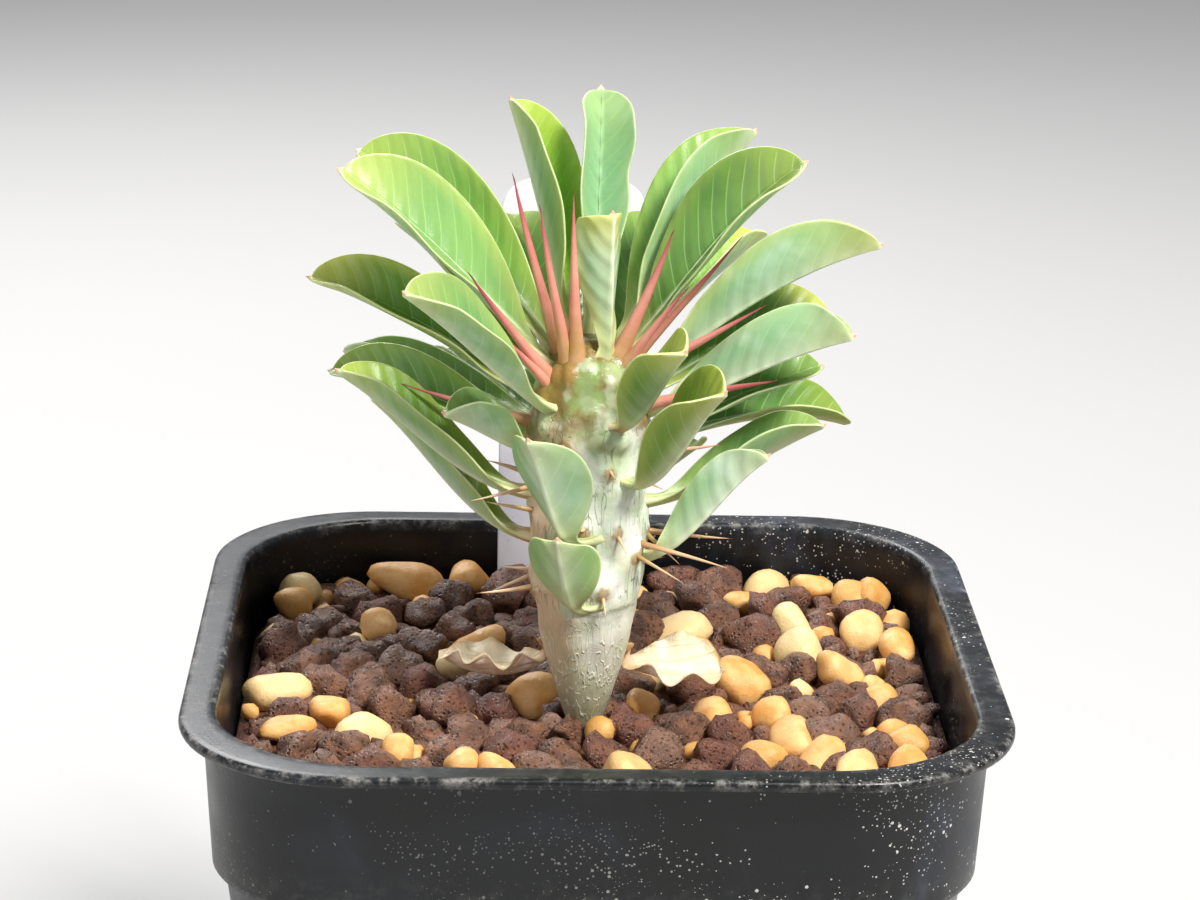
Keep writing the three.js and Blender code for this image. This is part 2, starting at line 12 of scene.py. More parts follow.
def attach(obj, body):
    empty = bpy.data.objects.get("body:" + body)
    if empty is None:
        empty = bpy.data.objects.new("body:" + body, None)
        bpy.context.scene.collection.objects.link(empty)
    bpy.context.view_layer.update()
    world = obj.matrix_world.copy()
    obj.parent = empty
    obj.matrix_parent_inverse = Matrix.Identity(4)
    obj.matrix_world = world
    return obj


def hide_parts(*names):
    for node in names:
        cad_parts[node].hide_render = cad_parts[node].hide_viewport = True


mm = 0.001
fullTurn = 6.28

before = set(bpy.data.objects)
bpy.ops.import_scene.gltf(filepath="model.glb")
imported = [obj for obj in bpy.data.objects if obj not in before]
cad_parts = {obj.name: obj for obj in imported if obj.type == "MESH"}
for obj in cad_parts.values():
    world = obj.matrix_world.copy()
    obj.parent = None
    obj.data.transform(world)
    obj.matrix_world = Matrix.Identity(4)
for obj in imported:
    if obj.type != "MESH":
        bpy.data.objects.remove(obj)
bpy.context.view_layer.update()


def draw(n):  # one repeatable value between 0 and 1 for each number
    wave = math.sin(n * 12.9898 + 4.1414) * 43758.5453
    return wave - math.floor(wave)


def smooth(value, low, high):
    share = np.clip((np.asarray(value, float) - low) / (high - low), 0, 1)
    return share * share * (3 - 2 * share)


def mix(a, b, share):
    return a + (b - a) * share


def outward(az):
    return np.array([math.cos(math.radians(az)), math.sin(math.radians(az)), 0.0])


def sloped(az, rise):
    flat = outward(az) * math.cos(math.radians(rise))
    return flat + np.array([0, 0, math.sin(math.radians(rise))])


def link(thing):
    bpy.context.scene.collection.objects.link(thing)
    return thing


def makeObject(name, points, faces, material, attributes):
    mesh = bpy.data.meshes.new(name)
    mesh.from_pydata([tuple(p) for p in np.asarray(points) * mm], [], faces)
    for key, values in attributes.items():
        layer = mesh.attributes.new(key, "FLOAT", "POINT")
        layer.data.foreach_set("value", np.asarray(values, dtype=np.float32))
    form = bmesh.new()
    form.from_mesh(mesh)
    bmesh.ops.recalc_face_normals(form, faces=form.faces)
    form.to_mesh(mesh)
    form.free()
    mesh.shade_smooth()
    mesh.materials.append(material)
    return link(bpy.data.objects.new(name, mesh))


def tubeFaces(rows, columns):  # faces of a closed skin through rings of points, with both ends
    faces = []
    for r in range(rows - 1):
        for c in range(columns):
            a, b = r * columns + c, r * columns + (c + 1) % columns
            faces.append((a, b, b + columns, a + columns))
    ends = [tuple(range(columns))[::-1], tuple((rows - 1) * columns + k for k in range(columns))]
    return faces + ends


def feed(tree, socket, value):  # a plain value, or a link from another node
    if isinstance(value, bpy.types.NodeSocket):
        tree.links.new(value, socket)
    else:
        socket.default_value = value


def addNode(tree, kind, inputs=None, **settings):
    node = tree.nodes.new(kind)
    for key, value in settings.items():
        setattr(node, key, value)
    for key, value in (inputs or {}).items():
        feed(tree, node.inputs[key], value)
    return node


def mathNode(tree, operation, a, b=0.0, c=0.0, clamp=False):
    node = addNode(tree, "ShaderNodeMath", {0: a, 1: b, 2: c}, operation=operation, use_clamp=clamp)
    return node.outputs[0]


def times(tree, a, b):
    return mathNode(tree, "MULTIPLY", a, b)


def plusTimes(tree, a, b, c, clamp=False):  # a times b, plus c
    return mathNode(tree, "MULTIPLY_ADD", a, b, c, clamp)


def ramp(tree, value, low, high, toLow=0.0, toHigh=1.0):
    node = addNode(tree, "ShaderNodeMapRange", {0: value, 1: low, 2: high, 3: toLow, 4: toHigh},
                   interpolation_type="SMOOTHSTEP")
    return node.outputs[0]


def colour(hexText):
    parts = [int(hexText[i:i + 2], 16) / 255 for i in (0, 2, 4)]
    return tuple(p / 12.92 if p <= 0.04045 else ((p + 0.055) / 1.055) ** 2.4 for p in parts) + (1.0,)


def colours(**hexTexts):
    return {key: colour(hexText) for key, hexText in hexTexts.items()}


def blendColour(tree, factor, a, b):
    return addNode(tree, "ShaderNodeMix", {0: factor, 6: a, 7: b}, data_type="RGBA").outputs[2]


def cover(tree, skin, mask, share, tint):  # lays a share of a tint on the skin where the mask is
    return blendColour(tree, times(tree, mask, share), skin, tint)


def attribute(tree, name):
    return addNode(tree, "ShaderNodeAttribute", attribute_name=name).outputs["Fac"]


def axis(tree, vector, index):
    return addNode(tree, "ShaderNodeSeparateXYZ", {0: vector}).outputs[index]


def noise(tree, vector, scale, detail=3.0, roughness=0.55, distortion=0.0):
    return addNode(tree, "ShaderNodeTexNoise", {"Vector": vector, "Scale": scale, "Detail": detail,
                                                "Roughness": roughness,
                                                "Distortion": distortion}).outputs[0]


def newMaterial(name, **values):  # the material, its tree and the place on the object
    material = bpy.data.materials.new(name)
    material.use_nodes = True
    tree = material.node_tree
    for key, value in values.items():
        tree.nodes["Principled BSDF"].inputs[key.replace("_", " ")].default_value = value
    return material, tree, addNode(tree, "ShaderNodeTexCoord").outputs["Object"]


def paint(material, skin, rough, height, strength, distance):
    tree = material.node_tree
    raised = addNode(tree, "ShaderNodeBump", {"Height": height, "Strength": strength, "Distance": distance})
    for key, value in (("Base Color", skin), ("Roughness", rough), ("Normal", raised.outputs[0])):
        feed(tree, tree.nodes["Principled BSDF"].inputs[key], value)
    return material


def newGroup(name, sizes, masks):  # an effect shared by materials: a vector and sizes in, masks out
    group = bpy.data.node_groups.new(name, "ShaderNodeTree")
    group.interface.new_socket(name="Vector", in_out="INPUT", socket_type="NodeSocketVector")
    for label, value in sizes.items():
        socket = group.interface.new_socket(name=label, in_out="INPUT", socket_type="NodeSocketFloat")
        socket.default_value = value
    for label in masks:
        group.interface.new_socket(name=label, in_out="OUTPUT", socket_type="NodeSocketFloat")
    return group, group.nodes.new("NodeGroupInput").outputs, group.nodes.new("NodeGroupOutput").inputs


def useGroup(tree, group, inputs):
    return addNode(tree, "ShaderNodeGroup", inputs, node_tree=group)


# Soft mottling with fine grain on top, for bark, stones, plastic and leaves
def makeMottle():
    group, given, result = newGroup("mottleGrain", {"Patch Size": 0.004, "Grain Size": 0.0004},
                                    ("Patches", "Grain"))
    patchScale = mathNode(group, "DIVIDE", 1.0, given["Patch Size"])
    grainScale = mathNode(group, "DIVIDE", 1.0, given["Grain Size"])
    patches = noise(group, given["Vector"], patchScale, 4.0)
    grain = noise(group, given["Vector"], grainScale, 3.0, 0.65)
    group.links.new(ramp(group, patches, 0.32, 0.68), result["Patches"])
    group.links.new(grain, result["Grain"])
    return group


# Fine wavy lines that run one way, as the contour lines of a stretched noise
def makeStreaks():
    group, given, result = newGroup("wavyStreaks", {"Spacing": 0.001, "Stretch": 8.0, "Width": 0.02},
                                    ("Lines",))
    parts = addNode(group, "ShaderNodeSeparateXYZ", {0: given["Vector"]})
    tall = mathNode(group, "DIVIDE", parts.outputs[2], given["Stretch"])
    vector = addNode(group, "ShaderNodeCombineXYZ",
                     {0: parts.outputs[0], 1: parts.outputs[1], 2: tall}).outputs[0]
    scale = mathNode(group, "DIVIDE", 0.5, given["Spacing"])
    field = noise(group, vector, scale, 1.0, 0.4, 0.0)
    near = mathNode(group, "ABSOLUTE", mathNode(group, "SUBTRACT", field, 0.5))
    group.links.new(ramp(group, near, 0.0, given["Width"], 1.0, 0.0), result["Lines"])
    return group


# Pale dust: small specks gathered in clouds, and a thin smudged film
def makeDust():
    group, given, result = newGroup("paleDust", {"Speck Size": 0.0003, "Amount": 0.5}, ("Specks", "Film"))
    scale = mathNode(group, "DIVIDE", 0.3, given["Speck Size"])
    cells = addNode(group, "ShaderNodeTexVoronoi", {"Vector": given["Vector"], "Scale": scale})
    parts = addNode(group, "ShaderNodeSeparateColor", {0: cells.outputs["Color"]})
    reach = plusTimes(group, parts.outputs[1], 0.22, 0.08)
    dot = mathNode(group, "LESS_THAN", cells.outputs["Distance"], reach)
    clouds = ramp(group, noise(group, given["Vector"], 60.0, 5.0, 0.65, 0.8), 0.46, 0.66)
    share = times(group, plusTimes(group, clouds, 0.96, 0.04), given["Amount"])
    kept = mathNode(group, "LESS_THAN", parts.outputs[0], share)
    film = noise(group, given["Vector"], 45.0, 5.0, 0.65, 0.6)
    group.links.new(times(group, dot, kept), result["Specks"])
    group.links.new(times(group, ramp(group, film, 0.42, 0.75), given["Amount"]), result["Film"])
    return group


mottleGrain = makeMottle()
wavyStreaks = makeStreaks()
paleDust = makeDust()


def mottled(tree, vector, patchSize, grainSize):
    node = useGroup(tree, mottleGrain, {"Vector": vector, "Patch Size": patchSize, "Grain Size": grainSize})
    return node.outputs["Patches"], node.outputs["Grain"]


def streaked(tree, vector, spacing, stretch, width):
    return useGroup(tree, wavyStreaks, {"Vector": vector, "Spacing": spacing, "Stretch": stretch,
                                        "Width": width}).outputs["Lines"]


def dusted(tree, vector, speckSize, amount):
    node = useGroup(tree, paleDust, {"Vector": vector, "Speck Size": speckSize, "Amount": amount})
    return node.outputs["Specks"], node.outputs["Film"]


# petioleHalf, tipHalf: half widths of stalk and tip. point: how the tip's last rings shrink and reach on.
leafForm = {"steps": 52, "crowdTip": 1.6, "hold": 0.36, "petioleHalf": 0.95, "tipHalf": 0.6,
            "stalkLong": 2.6, "rootInset": 1.6, "flare": 0.55, "footFold": 16, "foldLoss": 0.3,
            "thick": 0.62, "edgeThick": 0.24, "rimRound": 0.1, "rimSpan": 1.03, "belly": 0.07,
            "ridge": 0.42, "ridgeWide": 0.55, "wave": 0.3,
            "point": ((0.72, 0.22), (0.36, 0.42), (0.12, 0.62))}
driedForm = {"firstSeed": 50, "crumple": 0.8}
# widest: where the blade is widest. basePower, tipPower: how fast it widens and closes. notch: how far the
# halves pass the tip. swing, hook: sideways shift of the blade and of its stalk. nick: a dent in one half.
commonShape = {"widest": 0.64, "basePower": 1.25, "tipPower": 0.6, "notch": 0.0, "swing": 0.0, "hook": 0.0,
               "nick": 0.0, "blush": 0.12}
leafShape = {
    5: {"blush": 0.4}, 7: {"tipPower": 0.42, "notch": 0.5, "nick": 0.2},
    8: {"tipPower": 0.45, "notch": 1.0}, 13: {"blush": 0.5}, 15: {"tipPower": 0.5, "notch": 0.6},
    21: {"widest": 0.68, "tipPower": 0.5, "notch": 0.6}, 22: {"tipPower": 0.5, "notch": 0.5, "blush": 0.9},
    23: {"widest": 0.68, "basePower": 1.6, "tipPower": 0.7, "notch": 0.3, "swing": 3.0, "hook": 1.3},
    24: {"widest": 0.6, "basePower": 1.6, "tipPower": 0.8, "notch": 0.9, "swing": 1.2, "hook": 1.4},
    25: {"blush": 0.6}, 27: {"blush": 0.5}, 28: {"blush": 0.5}, 29: {"blush": 0.8}}

# az, z, rise, long, wide, start, end, fold, roll as in the CAD; lime, bloom and gold tint the leaf. The
# bloom's mint is partly the leaf's real pale wax and partly painted sunlight where a face catches the light.
leafRows = [
    (154, 113, 40.5, 33, 12, 12, -20, 45, -25, 0.45, 0.25, 0.35),
    (184, 112.5, 44, 33, 13, 4, -8, 40, -32, 0.55, 0.65, 0.6),
    (168, 108.5, 25.5, 30, 10.5, 4, -12, 45, -25, 0.35, 0.1, 1.0),
    (218, 108.5, 39, 27, 11, -4, -4, 45, -28, 0.35, 0.7, 0.5),
    (140, 109, 34.5, 28.5, 11, 4, -10, 45, -10, 0.4, 0.2, 0.6),
    (130, 115, 65, 28.5, 11, 0, -4, 62, 14, 0.95, 0.1, 0.5),
    (86, 115, 76.5, 28.5, 10, 0, 0, 52, 20, 0.4, 1.6, 0.3),
    (-60, 114, 86, 17.5, 9.5, -10, 0, 55, -4, 0.8, 0.4, 1.0),
    (92, 91, 22, 22, 9, -20, -6, 40, 0, 0.3, 0.3, 0.2),
    (28, 114, 54, 29.5, 12, 6, -12, 58, -12, 0.6, 0.5, 0.3),
    (-6, 113.5, 50.5, 30.5, 13, 4, -12, 40, 32, 0.15, 0.15, 0.3),
    (0, 111.5, 30.5, 31.5, 12, 4, -16, 60, -15, 0.5, 0.6, 0.7),
    (44, 111, 28.5, 26.5, 11, 10, -10, 50, 0, 0.7, 0.3, 0.8),
    (20, 108.5, 18.5, 25.5, 10.5, 10, -22, 40, 26, 0.2, 0.1, 0.8),
    (-14, 108, 24.5, 26.5, 11, -4, -8, 58, -24, 0.35, 0.9, 0.4),
    (6, 104.5, 22, 22.5, 9, 0, -4, 35, 20, 0.2, 0.4, 0.2),
    (27, 103.5, -1, 28.5, 9.5, 9, -20, 42, 16, 0.15, 0.1, 0.35),
    (5, 97.5, 22.5, 23, 9, -18, 0, 45, 0, 0.3, 0.55, 0.3),
    (-16, 91.5, 41, 20.5, 8, -30, -4, 60, -20, 0.4, 0.9, 0.3),
    (50, 97, 11, 16, 8, -6, 0, 45, 0, 0.3, 0.2, 0.5),
    (-48, 101.5, 40, 21, 12, -46, 0, 42, 26, 0.5, -0.2, 0.5),
    (-60, 107.5, 40, 19, 10, -24, 0, 42, 24, 0.6, -0.2, 0.7),
    (-126, 95.5, 60, 14, 11, -82, 0, 25, 0, 0.5, 0.4, 0.3),
    (-112, 87.5, 60, 10, 8.4, -88, 14, 12, 0, 0.65, 0.3, 0.3),
    (198, 104, 24, 13, 9.5, -14, -4, 50, 0, 0.4, 0.7, 0.3),
    (158, 103, 13.5, 27, 9.5, 4, -12, 45, -25, 0.4, 0.1, 0.35),
    (182, 98.5, 32, 27, 9.5, -26, 0, 42, -5, 0.5, 0.25, 0.5),
    (142, 105, 7, 30.5, 7.5, 5, -8, 50, 0, 0.2, 0.15, 0.2),
    (168, 93, 37, 25, 8.5, -34, 0, 45, 0, 0.6, 0.25, 0.5),
    (126, 104, 7, 25.5, 9, 4, -10, 50, 0, 0.2, 0.15, 0.2),
    (70, 109, 34, 27, 11, 4, -16, 45, 0, 0.35, 0.3, 0.3),
    (112, 109, 40, 25, 10, 4, -16, 45, 0, 0.35, 0.3, 0.3),
    (92, 103, 26, 28, 12, 0, -16, 42, 0, 0.3, 0.3, 0.3),
    (78, 98, 12, 25, 9, -8, -12, 42, 0, 0.3, 0.3, 0.3),
    (114, 98, 16, 24, 10, -12, -8, 42, 0, 0.3, 0.3, 0.3),
]
leafKeys = ("az", "z", "rise", "long", "wide", "start", "end", "fold", "roll", "lime", "bloomAndSunlit", "gold")
driedRows = [
    (162, 82, -17, 14, 8, -70, 52, 38, 0, 0, 0, 0),
    (9, 81.5, -20, 13, 10, -62, 22, 34, 20, 0, 0, 0),
]

stemForm = {"x": -1.0, "y": -7.5, "columns": 128, "rows": 260, "cushion": 1.5, "cushionWide": 1.7,
            "ledge": 87.8}
stemProfile = [(48, 1.2), (64, 1.8), (72, 2.2), (75, 3.2), (79, 4.4), (83, 5.4), (87, 6.0), (92, 6.3),
               (99, 6.4), (106, 6.4), (110, 6.1), (113, 5.2), (115.4, 3.8), (117, 1.6)]


def stemRadius(z):
    return np.interp(z, [p[0] for p in stemProfile], [p[1] for p in stemProfile])


def onStem(az, z, inset):
    axis = np.array([stemForm["x"], stemForm["y"], z])
    return axis + outward(az) * (float(stemRadius(z)) - inset)


def midrib(leaf, t):  # point and direction on a cubic curve in the leaf's upright plane
    base = onStem(leaf["az"], leaf["z"], leafForm["rootInset"])
    tip = base + sloped(leaf["az"], leaf["rise"]) * leaf["long"]
    hold = leaf["long"] * leafForm["hold"]
    a = base + sloped(leaf["az"], leaf["rise"] + leaf["start"]) * hold
    b = tip - sloped(leaf["az"], leaf["rise"] + leaf["end"]) * hold
    s = 1 - t
    point = s**3 * base + 3 * s * s * t * a + 3 * s * t * t * b + t**3 * tip
    run = 3 * s * s * (a - base) + 6 * s * t * (b - a) + 3 * t * t * (tip - b)
    return point, run / np.linalg.norm(run)


def bladeHalf(leaf, t):
    stalk = max(0.1, leafForm["stalkLong"] / leaf["long"])
    u = min(max((t - stalk) / (1 - stalk), 0), 1)
    swell = (u / leaf["widest"]) ** leaf["basePower"] * ((1 - u) / (1 - leaf["widest"])) ** leaf["tipPower"]
    least = mix(leafForm["petioleHalf"], leafForm["tipHalf"], float(smooth(t, 0.6, 1)))
    least += leafForm["flare"] * (1 - float(smooth(t, 0.03, 0.16)))
    return least + (leaf["wide"] / 2 - least) * swell


def foldAt(leaf, t):
    foot = min(leaf["fold"], leafForm["footFold"])
    opened = 1 - leafForm["foldLoss"] * float(smooth(t, 0.85, 1))
    return foot + (leaf["fold"] - foot) * float(smooth(t, 0.05, 0.4)) * opened


acrossSteps = np.array([0, 0.04, 0.09, 0.15, 0.23, 0.33, 0.44, 0.55, 0.66, 0.77, 0.87, 0.95, 1.0])
acrossSigned = np.concatenate([-acrossSteps[::-1], acrossSteps[1:]])


def edgePoint(lower, beside, upper, span):  # the round margin between the two faces
    line = lower - beside
    return (lower + upper) / 2 + line / np.linalg.norm(line) * leafForm["rimRound"], span, 0.5


# The ring of points round the blade at one place of its length: outer face, margin, inner face, margin
def leafRing(leaf, t, side, half, phase, crumple):
    point, run = midrib(leaf, t)
    point = point + side * (leaf["swing"] * (1 - t) + leaf["hook"] * (1 - float(smooth(t, 0, 0.3))))
    up = np.cross(run, side)
    fold = math.radians(foldAt(leaf, t))
    roll = math.radians(leaf["roll"]) * float(smooth(t, 0, 0.3))
    wave = leafForm["wave"] * half / 6
    ripples = {1: wave * math.sin(t * 13 + phase) + crumple * math.sin(t * 23 + phase * 2),
               -1: wave * math.sin(t * 11 + phase * 1.7) - crumple * math.sin(t * 19 + phase)}
    dents = {1: 1, -1: 1 - leaf["nick"] * math.exp(-((t - 0.68) / 0.09) ** 2)}
    ahead = leaf["notch"] * float(smooth(t, 0.4, 0.88)) * (1 - float(smooth(t, 0.88, 1)))
    middle = np.array([-math.sin(roll), math.cos(roll)])  # the line that halves the fold, in (side, up)
    across = np.array([middle[1], -middle[0]])
    below, above = [], []
    for s in acrossSigned:
        hand = 1 if s >= 0 else -1
        angle = fold + hand * roll
        line = np.array([hand * math.cos(angle), math.sin(angle)])
        face = np.array([hand * math.sin(angle), -math.cos(angle)])
        reach = abs(s) * half * dents[hand]
        belly = leafForm["belly"] * (half - leafForm["tipHalf"]) * math.sin(math.pi * min(1, abs(s) ** 0.9))
        skin = line * reach + face * (belly + ripples[hand] * abs(s) ** 2.5)
        ridge = leafForm["ridge"] * (1 - 0.7 * t) * math.exp(-(reach / leafForm["ridgeWide"]) ** 2)
        thick = leafForm["thick"] * (1.5 - 0.5 * float(smooth(t, 0.05, 0.35)))
        thick = min(mix(thick, leafForm["edgeThick"], abs(s) ** 1.5 * float(smooth(t, 0.02, 0.2))),
                    0.8 * half)
        top = skin - face * thick
        aside, deep = hand * float(top @ across), float(top @ middle)
        if aside < 0.04 * reach + 0.01:  # the two upper faces meet in the fold and don't cross it
            aside = 0.04 * reach
            deep = max(deep, thick / max(0.3, math.cos(fold)))
        top = across * hand * aside + middle * deep
        outer = skin - middle * ridge
        shift = point + run * ahead * abs(s) ** 1.3
        below.append(shift + side * outer[0] + up * outer[1])
        above.append(shift + side * top[0] + up * top[1])
    ring = [(p, s, 0.0) for p, s in zip(below, acrossSigned)]
    ring.append(edgePoint(below[-1], below[-2], above[-1], leafForm["rimSpan"]))
    ring += [(p, s, 1.0) for p, s in zip(above[::-1], acrossSigned[::-1])]
    ring.append(edgePoint(below[0], below[1], above[0], -leafForm["rimSpan"]))
    return ring


# A folded blade with both faces, a round keel, a rounded margin and a small point at its tip
def makeLeaf(name, row, material, seed, crumple=0.0, shape={}):
    leaf = {**commonShape, **dict(zip(leafKeys, row)), **shape, "seed": draw(seed + 0.5)}
    side = np.cross([0, 0, 1.0], outward(leaf["az"]))
    shares = 1 - (1 - np.linspace(0, 1, leafForm["steps"])) ** leafForm["crowdTip"]
    points, marks = [], []
    for t in shares:
        half = bladeHalf(leaf, t)
        ring = leafRing(leaf, t, side, half, draw(seed) * fullTurn, crumple)
        for p, s, face in ring:
            points.append(p)
            gap = (leafForm["rimSpan"] - abs(s)) * half
            marks.append((t * leaf["long"], s * half, abs(s), face, t, gap))
    count = len(ring)
    lastRing, lastMarks = np.array(points[-count:]), marks[-count:]
    middle, run = lastRing.mean(axis=0), midrib(leaf, 1.0)[1]
    for shrink, push in leafForm["point"]:
        for p, mark in zip(lastRing, lastMarks):
            points.append(middle + (p - middle) * shrink + run * push)
            marks.append((leaf["long"] + push, mark[1], 1.0, mark[3], 1.0 + push * 0.1, 0.0))
    attributes = dict(zip(("along", "across", "margin", "inner", "share", "gap"), np.array(marks).T))
    for key in ("lime", "bloomAndSunlit", "gold", "seed", "blush"):
        attributes[key] = [leaf[key]] * len(points)
    return makeObject(name, points, tubeFaces(len(points) // count, count), material, attributes)


def leafMaterial():
    tints = colours(dark="32621E", lime="84AE2E", olive="6C9044", mint="9AC8A2", wax="DDEFE2",
                    gold="D8D26C", rib="E2EBCB", stalk="BCCB8A", edge="EDEDBE", point="E2A48E",
                    vein="A5CC7E", blush="C98A52")
    material, tree, place = newMaterial("foldedLeaf", Subsurface_Weight=0.12, IOR=1.45,
                                        Subsurface_Radius=(0.6, 1.0, 0.2), Subsurface_Scale=0.0018)
    keys = ("along", "across", "inner", "share", "gap", "bloomAndSunlit", "gold", "seed")
    along, across, inner, share, gap, bloomAndSunlit, gold, seed = (attribute(tree, key) for key in keys)
    patches, grain = mottled(tree, place, 0.006, 0.0003)
    # side veins leave the midrib forwards and fade before the edge
    off = mathNode(tree, "ABSOLUTE", across)
    bent = mathNode(tree, "POWER", off, 1.3)
    wander = plusTimes(tree, noise(tree, place, 130.0, 1.0), 1.6, times(tree, seed, 2.4))
    lead = mathNode(tree, "SUBTRACT", along, times(tree, bent, 0.55))
    wave = mathNode(tree, "DIVIDE", mathNode(tree, "ADD", lead, wander), 2.3)
    near = mathNode(tree, "ABSOLUTE", mathNode(tree, "SUBTRACT", mathNode(tree, "FRACT", wave), 0.5))
    fade = ramp(tree, attribute(tree, "margin"), 0.6, 1.0, 1.0, 0.0)
    vein = times(tree, ramp(tree, near, 0.0, 0.06, 1.0, 0.0), fade)
    field = ramp(tree, near, 0.05, 0.5)  # the raised skin between two veins
    # the two faces; the bloom's mint is partly real pale wax and partly painted sunlight
    limed = plusTimes(tree, patches, 0.2, attribute(tree, "lime"), True)
    upper = blendColour(tree, limed, tints["dark"], tints["lime"])
    upper = cover(tree, upper, bloomAndSunlit, 0.4, tints["mint"])
    lower = blendColour(tree, plusTimes(tree, bloomAndSunlit, 0.75, 0.15, True), tints["olive"], tints["mint"])
    lower = cover(tree, lower, patches, 0.22, tints["lime"])
    lower = blendColour(tree, ramp(tree, off, 0.3, 3.2, 0.45, 0.0), lower, tints["rib"])
    # painted sheen: whitish patches on the outer face stand for light glancing off it
    paintedSheen = times(tree, ramp(tree, noise(tree, place, 150.0, 3.0), 0.45, 0.7), bloomAndSunlit)
    lower = cover(tree, lower, paintedSheen, 0.55, tints["wax"])
    upper = cover(tree, upper, vein, 0.5, tints["vein"])
    lower = cover(tree, lower, vein, 0.18, tints["rib"])
    skin = blendColour(tree, inner, lower, upper)
    ageing = times(tree, ramp(tree, share, 0.66, 1.02), gold)
    nearEdge = times(tree, ramp(tree, gap, 0.15, 2.2, 1.0, 0.0), gold)
    goldMask = mathNode(tree, "MAXIMUM", ageing, times(tree, nearEdge, 0.6))
    skin = cover(tree, skin, goldMask, 0.7, tints["gold"])
    # midrib, stalk, margin and tip
    ribWide = ramp(tree, share, 0.0, 1.0, 1.0, 0.3)
    rib = ramp(tree, mathNode(tree, "DIVIDE", off, ribWide), 0.3, 1.0, 1.0, 0.0)
    skin = cover(tree, skin, rib, 0.7, tints["rib"])
    stalk = ramp(tree, along, 2.0, 9.0, 1.0, 0.0)
    skin = cover(tree, skin, stalk, 0.75, tints["stalk"])
    blushed = times(tree, ramp(tree, along, 1.0, 6.0, 1.0, 0.0), attribute(tree, "blush"))
    skin = blendColour(tree, blushed, skin, tints["blush"])
    edge = ramp(tree, gap, 0.04, 0.2, 1.0, 0.0)
    skin = cover(tree, skin, edge, 0.5, tints["edge"])
    skin = blendColour(tree, ramp(tree, share, 1.005, 1.04), skin, tints["point"])
    rough = plusTimes(tree, inner, -0.08, 0.42)
    raised = plusTimes(tree, field, 0.6, times(tree, grain, 0.25))
    return paint(material, skin, rough, raised, 0.4, 0.0003)


def driedMaterial():
    material, tree, place = newMaterial("witheredLeaf", Subsurface_Weight=0.12, Subsurface_Scale=0.001)
    patches = mottled(tree, place, 0.003, 0.0003)[0]
    line = addNode(tree, "ShaderNodeCombineXYZ", {0: times(tree, attribute(tree, "across"), mm),
                                                  2: times(tree, attribute(tree, "along"), mm)})
    streaks = streaked(tree, line.outputs[0], 0.0011, 5.0, 0.03)
    skin = blendColour(tree, patches, colour("F7F0E2"), colour("E6D6B6"))
    skin = cover(tree, skin, attribute(tree, "inner"), 0.45, colour("D9C49A"))
    stalk = ramp(tree, attribute(tree, "along"), 0.5, 5.5, 1.0, 0.0)
    skin = cover(tree, skin, stalk, 0.85, colour("A8733C"))
    rim = ramp(tree, attribute(tree, "gap"), 0.1, 0.5, 0.35, 0.0)
    skin = blendColour(tree, rim, skin, colour("B48A50"))
    skin = cover(tree, skin, streaks, 0.3, colour("B49A6C"))
    height = plusTimes(tree, streaks, -0.4, patches)
    return paint(material, skin, 0.65, height, 0.5, 0.0005)


foldedLeaf = leafMaterial()
witheredLeaf = driedMaterial()
for number, row in enumerate(leafRows, 1):
    blade = makeLeaf(f"foldedLeaf{number:02d}", row, foldedLeaf, number, shape=leafShape.get(number, {}))
    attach(blade, "root")
    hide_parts(f"leaf_{number:02d}")
for number, row in enumerate(driedRows, 1):
    blade = makeLeaf(f"witheredLeaf{number}", row, witheredLeaf, driedForm["firstSeed"] + number,
                     driedForm["crumple"])
    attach(blade, "root")
    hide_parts(f"dried_leaf_{number}")
print("leaves", len(leafRows), "withered", len(driedRows))


# az, z, rise, long, thick and how red each spine is
spineRows = [
    (172, 114.5, 72, 21, 1.2, 1), (-138, 114.4, 73, 19, 1.2, 1), (-122, 114.8, 84, 19, 1.3, 0.9),
    (207, 112.3, 49, 17.5, 1.2, 1), (-150, 111.5, 46, 11, 1.1, 1), (-22, 115, 64, 16, 1.4, 1),
    (-30, 113.5, 56, 13, 1.1, 1), (12, 113.5, 46, 19, 1.1, 1), (-24, 112.5, 33, 18.5, 1.3, 1),
    (-26, 109.5, 20, 18, 1.2, 1), (178, 107, 14, 16, 1.1, 1), (-156, 101, -8, 9, 0.6, 0.1),
    (168, 98.6, 9, 10, 0.5, 0.2), (-160, 97.6, 12, 7, 0.6, 0), (-115, 107, -20, 4, 0.7, 0.6),
    (179, 90, -24, 7, 0.5, 0), (-160, 89, -4, 8, 0.6, 0.1), (-2, 104, 4, 9.5, 0.7, 0.3),
    (-34, 103, -26, 4.5, 0.6, 0.2), (-6, 96, -42, 7, 0.6, 0), (4, 95, -9, 11, 0.6, 0.1),
    (-28, 94.4, -4, 12.5, 0.6, 0.2), (-36, 93.6, -16, 8, 0.5, 0), (-72, 104, -10, 3, 0.7, 0.2),
    (-95, 97, 0, 3, 0.7, 0), (-62, 97, -30, 4, 0.6, 0), (-75, 90, -35, 4, 0.6, 0),
    (74, 114, 60, 16, 1.2, 1), (112, 114, 55, 17, 1.2, 1), (46, 112.8, 50, 16, 1.1, 1),
    (140, 112.5, 50, 15, 1.1, 1), (90, 111, 38, 15, 1.1, 1), (56, 105, 8, 11, 0.8, 0.4),
    (134, 99, 4, 11, 0.8, 0.2), (93, 97, 0, 9, 0.6, 0), (50, 90, -12, 9, 0.6, 0),
    (140, 89, -10, 8, 0.6, 0), (90, 86, -15, 7, 0.6, 0),
]


